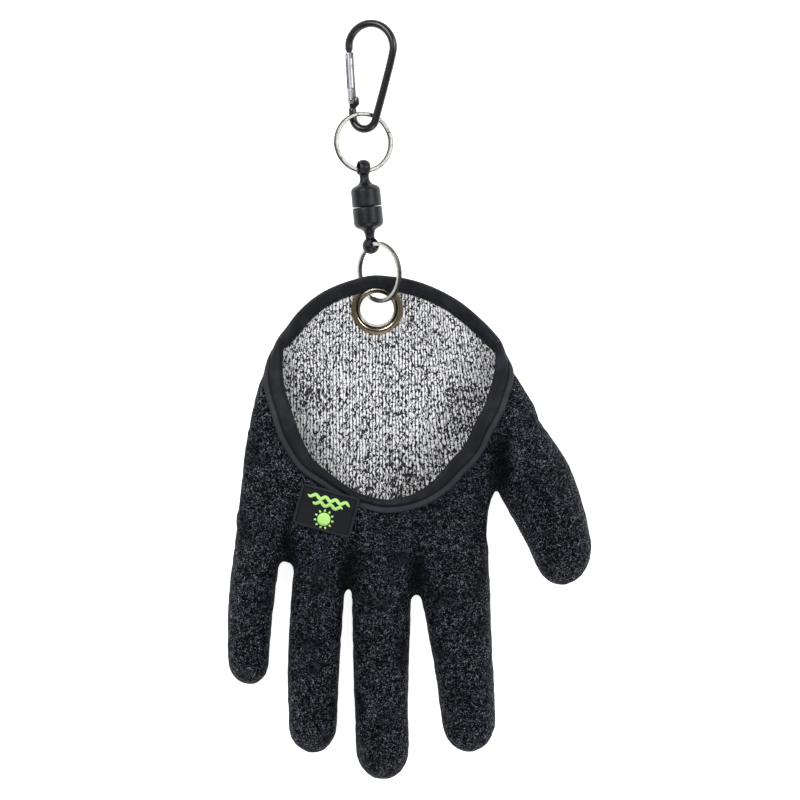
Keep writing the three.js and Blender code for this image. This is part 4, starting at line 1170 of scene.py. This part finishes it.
def grommet_plate():
    """The eyelet's plating with brown stains, painted dark as shade in the groove, where it curls into the
    hole and at its outer edge. The rings are told apart by their distance from the hole's middle."""
    finish = Finish("old_nickel", Metallic=1.0)
    dx, dy = finish.from_place(GROMMET["x"], GROMMET["y"])
    away = (dx * dx + dy * dy) ** 0.5
    # Painted shade in the groove, at the outer edge and round the hole; the stain adds a little real
    # darkening.
    groove = 1 - abs(away - 8.85).between(0.3, 0.55)
    edge = away.between(9.85, 10.1)
    hole_shade = 1 - away.between(7.6, 7.95)
    stain = finish.noise(1.6, 3, 0.6)
    tint = finish.mix(stain.between(0.4, 0.7), paint(196, 189, 173), paint(140, 130, 112))
    painted_shade_and_stain = (groove + edge + hole_shade * 0.85 + stain.between(0.55, 0.75) * 0.2).between(0.0, 1.0)
    colour = finish.mix(painted_shade_and_stain * 0.95, tint, paint(44, 37, 28))
    relief = finish.bump(stain, 0.03, 0.4)
    return finish.feed(Base_Color=colour, Roughness=0.2 + stain * 0.14, Normal=relief)


nickel = bright_metal("bright_nickel", paint(214, 213, 209), paint(146, 144, 139), 0.22)
lower_nickel = bright_metal("ring_nickel", paint(200, 199, 194), paint(66, 64, 60), 0.26, sides=20)
# The upper ring's plating is the lower ring's nickel painted darker all over.
upper_nickel = bright_metal("darker_ring_nickel", paint(132, 131, 126), paint(42, 41, 38), 0.3, sides=20)
old_nickel = grommet_plate()
brown_plate = bright_metal("brown_plate", paint(122, 108, 86), paint(60, 50, 38), 0.38)
brushed = bright_metal("brushed_gate", paint(182, 183, 188), paint(74, 75, 80), 0.36, (1, 0.06, 1),
                       sides=40, roll=23)

# %% The eyelet and its toothed washer
grommet_turn = rotation([1, 0, 0], GROMMET["tilt"])
grommet_at = np.array([GROMMET["x"], GROMMET["y"], GROMMET["underside"]])
FOOT, LIP = -CLEARANCE - GROMMET["sheet"], WALLS + 2 * CLEARANCE + 3 * GROMMET["sheet"]
TEETH = 24


def eyelet_profile():
    hole, roll, sheet = GROMMET["hole"], GROMMET["roll"], GROMMET["sheet"]
    barrel, under = hole + sheet, LIP - 2 * sheet
    return rounded([
        (hole, FOOT + 0.9), (hole + 0.5, FOOT + 0.12), (hole + 1.6, FOOT), (10.6, FOOT), (11.0, FOOT + 0.2),
        (10.6, FOOT + sheet), (barrel, FOOT + sheet), (barrel, under), (roll - 0.1, under),
        (roll, under + 0.35), (roll - 0.12, LIP - 0.2), (roll - 0.5, LIP + 0.02), (roll - 0.95, LIP - 0.22),
        (roll - 1.12, LIP - 0.52), (roll - 1.3, LIP - 0.5), (roll - 1.45, LIP - 0.12),
        (roll - 1.75, LIP + 0.05), (hole + 0.3, LIP - 0.15), (hole, LIP - 0.9),
    ])


def washer_profile():
    low = WALLS + CLEARANCE
    inner = GROMMET["hole"] + GROMMET["sheet"] + CLEARANCE
    return [(inner, low), (inner, low + 0.5), (WAVE_BEYOND, low + 0.5), (10.2, low + 0.52),
            (11.3, low + 0.42), (11.5, low + 0.3), (11.5, low + 0.05), (11.3, low), (10.2, low),
            (WAVE_BEYOND, low)]


teeth = lambda a: -0.28 * (1 - np.sqrt(np.abs(np.cos(a * TEETH / 2)))) - 0.04
eyelet = turned(eyelet_profile(), grommet_turn, grommet_at, 128)
piece("grommet_eyelet_turned", eyelet, "glove", old_nickel, ("grommet_eyelet",))
washer = turned(washer_profile(), grommet_turn, grommet_at, TEETH * 12, teeth)
piece("grommet_washer_toothed", washer, "glove", brown_plate, ("grommet_washer",))

# %% [markdown]
# ## Split rings
#
# A split ring is two turns of flat wire that lie on each other. The wire runs flat for most of a
# turn and steps up by its own thickness in one short slope, just where its own end lies, so both ends
# butt against that slope.

# %% Two turns of flat wire
RING = {"outer": 13.5, "radial": 1.8, "axial": 1.9, "step": 50.0}
RING_MID = RING["outer"] - RING["radial"] / 2


def split_ring(turning, centre, start):
    """The wire's height is -1/4 of the ring's thickness on the first turn and +1/4 on the second,
    with a 3t^2 - 2t^3 slope between, and the wire ends one step short of two whole turns."""
    step = np.radians(RING["step"])
    t = np.linspace(0, 4 * np.pi - step, 300)
    level = (smooth(t, 2 * np.pi - step, 2 * np.pi) - 0.5) * RING["axial"] / 2
    a = t + np.radians(start)
    path = np.stack([RING_MID * np.cos(a), RING_MID * np.sin(a), level], -1)
    turn = np.linspace(0, 2 * np.pi, 20, endpoint=False)
    boxed = [np.sign(v) * np.abs(v) ** 0.5 for v in (np.cos(turn), np.sin(turn))]
    section = np.stack([boxed[0] * RING["radial"] / 2, boxed[1] * RING["axial"] / 4 * 0.97], -1)
    ends = np.sqrt(np.minimum(1, (np.minimum(t, t[-1] - t) / 0.03 + 0.25)))
    wire = swept(path, section, np.array([0, 0, 1.0]), scale=np.minimum(ends, 1))
    wire["points"] = wire["points"] @ turning.T + centre
    return wire


LOWER_RING = {"aside": 1.0, "beyond": 15.6, "up": 5.2, "tilt": -46.0, "pitch": 7.0, "slack": 0.75,
              "drift": 1.15}
UPPER_RING = {"up": 5.4, "tilt": 18.0, "pitch": -4.0, "slack": 1.25}
lower_turn = rotation([1, 0, 0], LOWER_RING["pitch"]) @ rotation([0, 1, 0], LOWER_RING["tilt"])
lower_at = grommet_at + [LOWER_RING["aside"], LOWER_RING["beyond"], LOWER_RING["up"]]
lower_ring = split_ring(lower_turn, lower_at, 250)
piece("split_ring_lower_wire", lower_ring, "glove", lower_nickel, ("split_ring_lower",))

# %% [markdown]
# ## The magnetic clip
#
# Two moulded halves meet face to face and are held by magnets. Each is a short cylinder with a
# rounded shoulder that runs into a neck and a ball, and a split ring passes through the ball. A ball
# with a round hole right through it is also a turned shape, about the hole's own axis, so it is made
# that way and needs no cutting.

# %% Where the clip lies
CLIP = {"radius": 6.5, "half": 9.0, "neck": 2.0, "ball": 3.7, "hole": 2.5, "reach": 17.2, "lean": 5.4}


def on_ring(turning, centre, turn):
    """Places on a ring's wire and the way it runs there."""
    spoke = np.stack([np.cos(turn), np.sin(turn), 0 * turn], -1)
    run = np.stack([-np.sin(turn), np.cos(turn), 0 * turn], -1)
    return (spoke * RING_MID) @ turning.T + centre, run @ turning.T


places, runs = on_ring(lower_turn, lower_at, np.radians(90 + np.arange(181) / 2))
level = np.argmin(np.abs(places[:, 2] - CLIP["radius"]))
lower_run = runs[level]
lean = np.radians(CLIP["lean"])
clip_axis = np.array([-np.sin(lean), np.cos(lean), 0])
lower_ball = places[level] * [1, 1, 0] + [0, 0, CLIP["radius"]] + clip_axis * LOWER_RING["slack"]
lower_ball[0] += LOWER_RING["drift"]
clip_middle = lower_ball + clip_axis * CLIP["reach"]
upper_ball = clip_middle + clip_axis * CLIP["reach"]
upper_turn = rotation([1, 0, 0], UPPER_RING["pitch"]) @ rotation([0, 1, 0], UPPER_RING["tilt"])
upper_at = np.array([upper_ball[0], upper_ball[1] - UPPER_RING["slack"] + RING_MID, UPPER_RING["up"]])
upper_run = on_ring(upper_turn, upper_at, np.array(-np.pi / 2))[1]
print("the clip's halves meet at", clip_middle.round(1))


# %% Half a clip
def clip_half(way, ball, run):
    """The body's profile from the meeting face to the neck, and the ball as a ring about its hole: an
    arc of the ball's radius outside, the hole's radius inside, and small rounds between."""
    r, half, neck, reach = CLIP["radius"], CLIP["half"], CLIP["neck"], CLIP["reach"]
    face = CLEARANCE / 2
    body = rounded([
        (0.001, face), (r - 0.5, face), (r - 0.12, face + 0.12), (r, face + 0.5), (r, half - 2.6),
        (r - 0.05, half - 1.5), (r - 0.55, half - 0.5), (r - 1.6, half + 0.25), (neck + 1.6, half + 0.75),
        (neck + 0.55, half + 1.6), (neck + 0.1, half + 3.0), (neck, half + 4.2), (neck + 0.1, reach - 3.35),
        (neck - 0.2, reach - 3.0), (0.001, reach - 2.95),
    ], closed=False)
    arc = np.arccos((CLIP["hole"] + 0.35) / CLIP["ball"])
    a = np.linspace(-arc, arc, 25)
    outside = np.stack([CLIP["ball"] * np.cos(a), CLIP["ball"] * np.sin(a)], -1)
    top = CLIP["ball"] * np.sin(arc)
    hole = [(CLIP["hole"] + 0.12, top - 0.05), (CLIP["hole"], top - 0.35), (CLIP["hole"], 0.0),
            (CLIP["hole"], 0.35 - top), (CLIP["hole"] + 0.12, 0.05 - top)]
    eye = turned(np.vstack([outside, hole]), facing(run), ball, 72)
    return together([turned(body, facing(clip_axis * way), clip_middle, 96, closed=False), eye])


def clip_plastic():
    finish = Finish("clip_plastic", IOR=1.45, Specular_IOR_Level=0.36)
    grain = finish.noise(0.3, 3, 0.6)
    broad = finish.noise(4, 3, 0.6)
    colour = finish.mix(grain.between(0.3, 0.75), paint(8, 9, 13), paint(22, 25, 32))
    wear_and_glints = finish.mix(broad.between(0.5, 0.7) * 0.5, colour, paint(46, 51, 61))
    relief = finish.bump(grain * 0.7 + broad * 0.7, 0.05, 0.6)
    return finish.feed(Base_Color=wear_and_glints, Roughness=0.34 + grain * 0.14, Normal=relief)


plastic = clip_plastic()
lower_half = clip_half(-1, lower_ball, lower_run)
piece("clip_lower_half_moulded", lower_half, "glove", plastic, ("clip_lower_half",))
upper_half = clip_half(1, upper_ball, upper_run)
piece("clip_upper_half_moulded", upper_half, "clip_upper", plastic, ("clip_upper_half",))
upper_ring = split_ring(upper_turn, upper_at, 74)
piece("split_ring_upper_wire", upper_ring, "clip_upper", upper_nickel, ("split_ring_upper",))

# %% The magnet in the lower face
MAGNET = {"radius": 4.4, "front": 0.05, "back": 2.1, "bevel": (0.2, 0.25)}
edge_in, edge_back = MAGNET["radius"] - MAGNET["bevel"][0], MAGNET["front"] + MAGNET["bevel"][1]
magnet_profile = rounded([
    (0.001, MAGNET["front"]), (edge_in, MAGNET["front"]), (MAGNET["radius"], edge_back),
    (MAGNET["radius"], MAGNET["back"]), (0.001, MAGNET["back"]),
], closed=False)
magnet_disc = turned(magnet_profile, facing(-clip_axis), clip_middle, 64, closed=False)
piece("clip_magnet_disc", magnet_disc, "glove", nickel, ("clip_magnet",))

# %% [markdown]
# ## The carabiner
#
# One length of black wire is bent into a pear and left open on its straight side, where a bright
# gate closes it. It lies with the gate on the table and its other side up on the ring. It is drawn
# flat, in its own plane, with the small bow's middle as origin, and then rolled about the gate and
# turned into its place.

# %% The pear's own plane
PEAR = {"wire": 3.5, "top": 10.7, "low": 5.6, "spacing": 30.4, "roll": 23.0, "lean": 6.1}
PEAR_AT = np.array([-4.7, 12.1])
HINGE_UP, SHOULDER_DROP = 6.6, 3.0  # from the small bow up to the pin, from the pin down to the wire's end
WIRE_STEPS = 260
GATE = {"radius": 1.85, "length": 22.6, "slot": 1.8, "pin_up": 1.6, "slot_above_pin": 5.0, "nose_slot": 2.4}
low_left = np.array([-PEAR["low"], 0.0, 0.0])
top_left = np.array([-PEAR["top"], PEAR["spacing"], 0.0])
gate_line = unit(top_left - low_left)
gate_across = np.array([gate_line[1], -gate_line[0], 0.0])
hinge = low_left + gate_line * HINGE_UP
gate_foot = hinge - gate_line * GATE["pin_up"]
gate_head = gate_foot + gate_line * GATE["length"]
shoulder = hinge - gate_line * SHOULDER_DROP
nose_end = gate_head + gate_line * CLEARANCE * 1.5
pear_turn = rotation([0, 0, 1], -PEAR["lean"]) @ rotation(gate_line, -PEAR["roll"])
pear_at = np.array([upper_at[0] + PEAR_AT[0], upper_at[1] + PEAR_AT[1], GATE["radius"]])


def in_pear(part):
    """Rolls and turns a piece from the pear's plane into its place."""
    part["points"] = (part["points"] - low_left) @ pear_turn.T + pear_at
    return part


def bow(centre_y, radius, start, end, steps):
    a = np.radians(np.linspace(start, end, steps))
    return np.stack([radius * np.cos(a), centre_y + radius * np.sin(a), 0 * a], -1)


pear_up = np.array([0.0, 0.0, 1.0])
wire_points = np.vstack([
    shoulder, bow(0, PEAR["low"], 180, 360, 9), bow(PEAR["spacing"], PEAR["top"], 0, 172, 15), nose_end])
wire_path = smooth_path(wire_points, WIRE_STEPS)
wire_step = np.arange(WIRE_STEPS + 1)
from_end = np.minimum(wire_step, WIRE_STEPS - wire_step) / 5
wire_scale = np.sqrt(np.clip(1 - (1 - np.clip(from_end, 0, 1)) ** 2 * 0.55, 0.1, 1))
pear_wire = swept(wire_path, circle(PEAR["wire"] / 2, 28), pear_up, scale=wire_scale)


def plate(outline, thickness):
    """A flat plate from an outline in the pear's plane: four rings, the outer two drawn in."""
    middle = outline.mean(0)
    rows = [(0.93, -0.5), (1.0, -0.38), (1.0, 0.38), (0.93, 0.5)]
    grid = np.stack([middle + (outline - middle) * s + pear_up * h * thickness for s, h in rows])
    return surface(grid, caps=True)


def along_gate(end, places):
    return np.stack([end + gate_across * u + gate_line * v for u, v in places])


BLADE = GATE["slot"] - 2 * CLEARANCE
tongue_top = SHOULDER_DROP + 1.4
tongue = plate(along_gate(shoulder, [(-1.2, -1), (1, -1), (3.3, 1), (3.3, tongue_top - 0.8),
                                     (2.5, tongue_top), (-0.6, tongue_top), (-1.2, tongue_top - 0.8)]),
               BLADE)
catch_foot = 0.6 - GATE["nose_slot"]
catch = plate(along_gate(nose_end, [(-1, 1), (-1, catch_foot), (1, catch_foot), (1, 1)]), BLADE)


# %% Black wire, bright gate and rivet
def black_coat():
    finish = Finish("black_coat", Coat_Roughness=0.2, IOR=1.45, Specular_IOR_Level=0.4)
    spots = finish.noise(1.6, 3, 0.6)
    fine = finish.noise(0.3, 3, 0.65)
    colour = finish.mix(spots.between(0.45, 0.75) * 0.6, paint(12, 12, 15), paint(28, 28, 32))
    relief = finish.bump(spots * 0.6 + fine * 0.4, 0.03, 0.5)
    return finish.feed(Base_Color=colour, Roughness=0.24 + fine * 0.18, Normal=relief,
                       Coat_Weight=0.35 + spots * 0.3)


def half_bar(side, start, end):
    """One cheek of the slotted gate: the part of a circle beyond the slot, carried along the gate."""
    flat = GATE["slot"] / 2 / GATE["radius"]
    a = np.linspace(np.arcsin(flat), np.pi - np.arcsin(flat), 14)
    section = np.stack([np.cos(a), side * np.sin(a)], -1) * GATE["radius"]
    path = gate_foot + gate_line * np.linspace(start, end, 12)[:, None]
    ends = 1 - 0.12 * (np.clip(1 - np.arange(12)[:, None] / 2, 0, 1) ** 2 if start < 1 else
                       np.clip(np.arange(12)[:, None] / 2 - 4.5, 0, 1) ** 2)
    return swept(path, section, pear_up, scale=ends[:, 0])


def gate_bar():
    low_slot, high_slot = GATE["pin_up"] + GATE["slot_above_pin"], GATE["length"] - GATE["nose_slot"]
    run = np.linspace(low_slot, high_slot, 30)
    bar = swept(gate_foot + gate_line * run[:, None], circle(GATE["radius"], 40), pear_up)
    cheeks = [half_bar(side, 0.0, low_slot + 0.2) for side in (-1, 1)]
    cheeks += [half_bar(side, high_slot - 0.2, GATE["length"]) for side in (-1, 1)]
    return together([bar] + cheeks)


def rivet():
    """A pin with a low domed head at each end, just outside the gate's cheeks."""
    reach = GATE["radius"] + 0.12
    profile = [(0.001, reach), (0.45, reach - 0.04), (0.8, reach - 0.2), (0.86, reach - 0.42),
               (0.5, reach - 0.5)]
    profile += [(r, -h) for r, h in profile[::-1]]
    return turned(profile, np.eye(3), hinge, 40, closed=False)


black = black_coat()
body = in_pear(together([pear_wire, tongue, catch]))
piece("carabiner_body_wire", body, "clip_upper", black, ("carabiner_body",))
piece("carabiner_gate_bar", in_pear(gate_bar()), "gate", brushed, ("carabiner_gate",))
piece("gate_pin_rivet", in_pear(rivet()), "clip_upper", brushed, ("gate_pin",))

# %% [markdown]
# ## The table, the light and the camera
#
# The picture is a studio shot from straight above on a light table: it glows a little, so nothing
# casts a dark shadow on it. Broad soft boxes in a dim room give the latex its even sparkle and the wire
# its bright bands, helped by glints painted on the latex and dark bands painted on the wire's sides.
# The picture is developed plainly, without a film curve. The camera stands three metres up, so that it
# sees the glove almost without perspective.

# %% A pale table
TABLE_LEVEL, TABLE_HALF_SIDE = -0.35, 2500.0


def pale_table():
    finish = Finish("pale_table", Roughness=0.9, Specular_IOR_Level=0.1, Emission_Strength=0.92)
    faint = finish.noise(60, 3)
    colour = finish.mix(faint.between(0.3, 0.7), paint(244, 244, 245), paint(248, 248, 248))
    return finish.feed(Base_Color=colour, Emission_Color=colour)


spread = np.linspace(-TABLE_HALF_SIDE, TABLE_HALF_SIDE, 21)
table_x, table_y = np.meshgrid(spread, spread)
table_grid = np.stack([table_x, table_y, np.full(table_x.shape, TABLE_LEVEL)], -1)
table = bpy.data.objects.new("table", mesh_of("table", surface(table_grid, wrap_columns=False)))
bpy.context.scene.collection.objects.link(table)
table.data.materials.append(pale_table())

# %% Soft lights
world = bpy.data.worlds.new("studio")
world.use_nodes = True
dim_room = world.node_tree.nodes["Background"].inputs
dim_room["Color"].default_value, dim_room["Strength"].default_value = (0.95, 0.97, 1.0, 1), 0.22
bpy.context.scene.world = world
bpy.context.scene.view_settings.view_transform = "Standard"


def soft_light(name, place, size, power, aim=(0, 0, 0)):
    """A square light of that size in metres, turned to face its aim."""
    light = bpy.data.lights.new(name, "AREA")
    light.shape, light.size, light.energy = "SQUARE", size, power
    lamp = bpy.data.objects.new(name, light)
    lamp.location = place
    lamp.rotation_mode = "QUATERNION"
    lamp.rotation_quaternion = (Vector(aim) - Vector(place)).to_track_quat("-Z", "Y")
    bpy.context.scene.collection.objects.link(lamp)


soft_light("key", (-0.9, 0.9, 1.6), 1.0, 30)
soft_light("fill", (1.3, 0.5, 1.4), 0.9, 17)
soft_light("low", (0.2, -1.5, 1.2), 0.8, 10)

# %% The camera
HIGH, GLOVE_TOP = 3.0, 0.01  # how far up the camera stands, and the level the picture's width is for
FRAME_WIDTH, SENSOR = 0.352, 36.0  # the width of what the picture shows, and of the camera's sensor
PICTURE_MIDDLE = (np.array([-5.28, 0.0, 0.0]) + FRAME_SHIFT) * MM
camera = bpy.data.cameras.new("from_above")
camera.sensor_width = SENSOR
camera.lens = SENSOR * (HIGH - GLOVE_TOP) / FRAME_WIDTH
camera.clip_end = 20
viewpoint = bpy.data.objects.new("from_above", camera)
viewpoint.location = (PICTURE_MIDDLE[0], PICTURE_MIDDLE[1], HIGH)
bpy.context.scene.collection.objects.link(viewpoint)
bpy.context.scene.camera = viewpoint
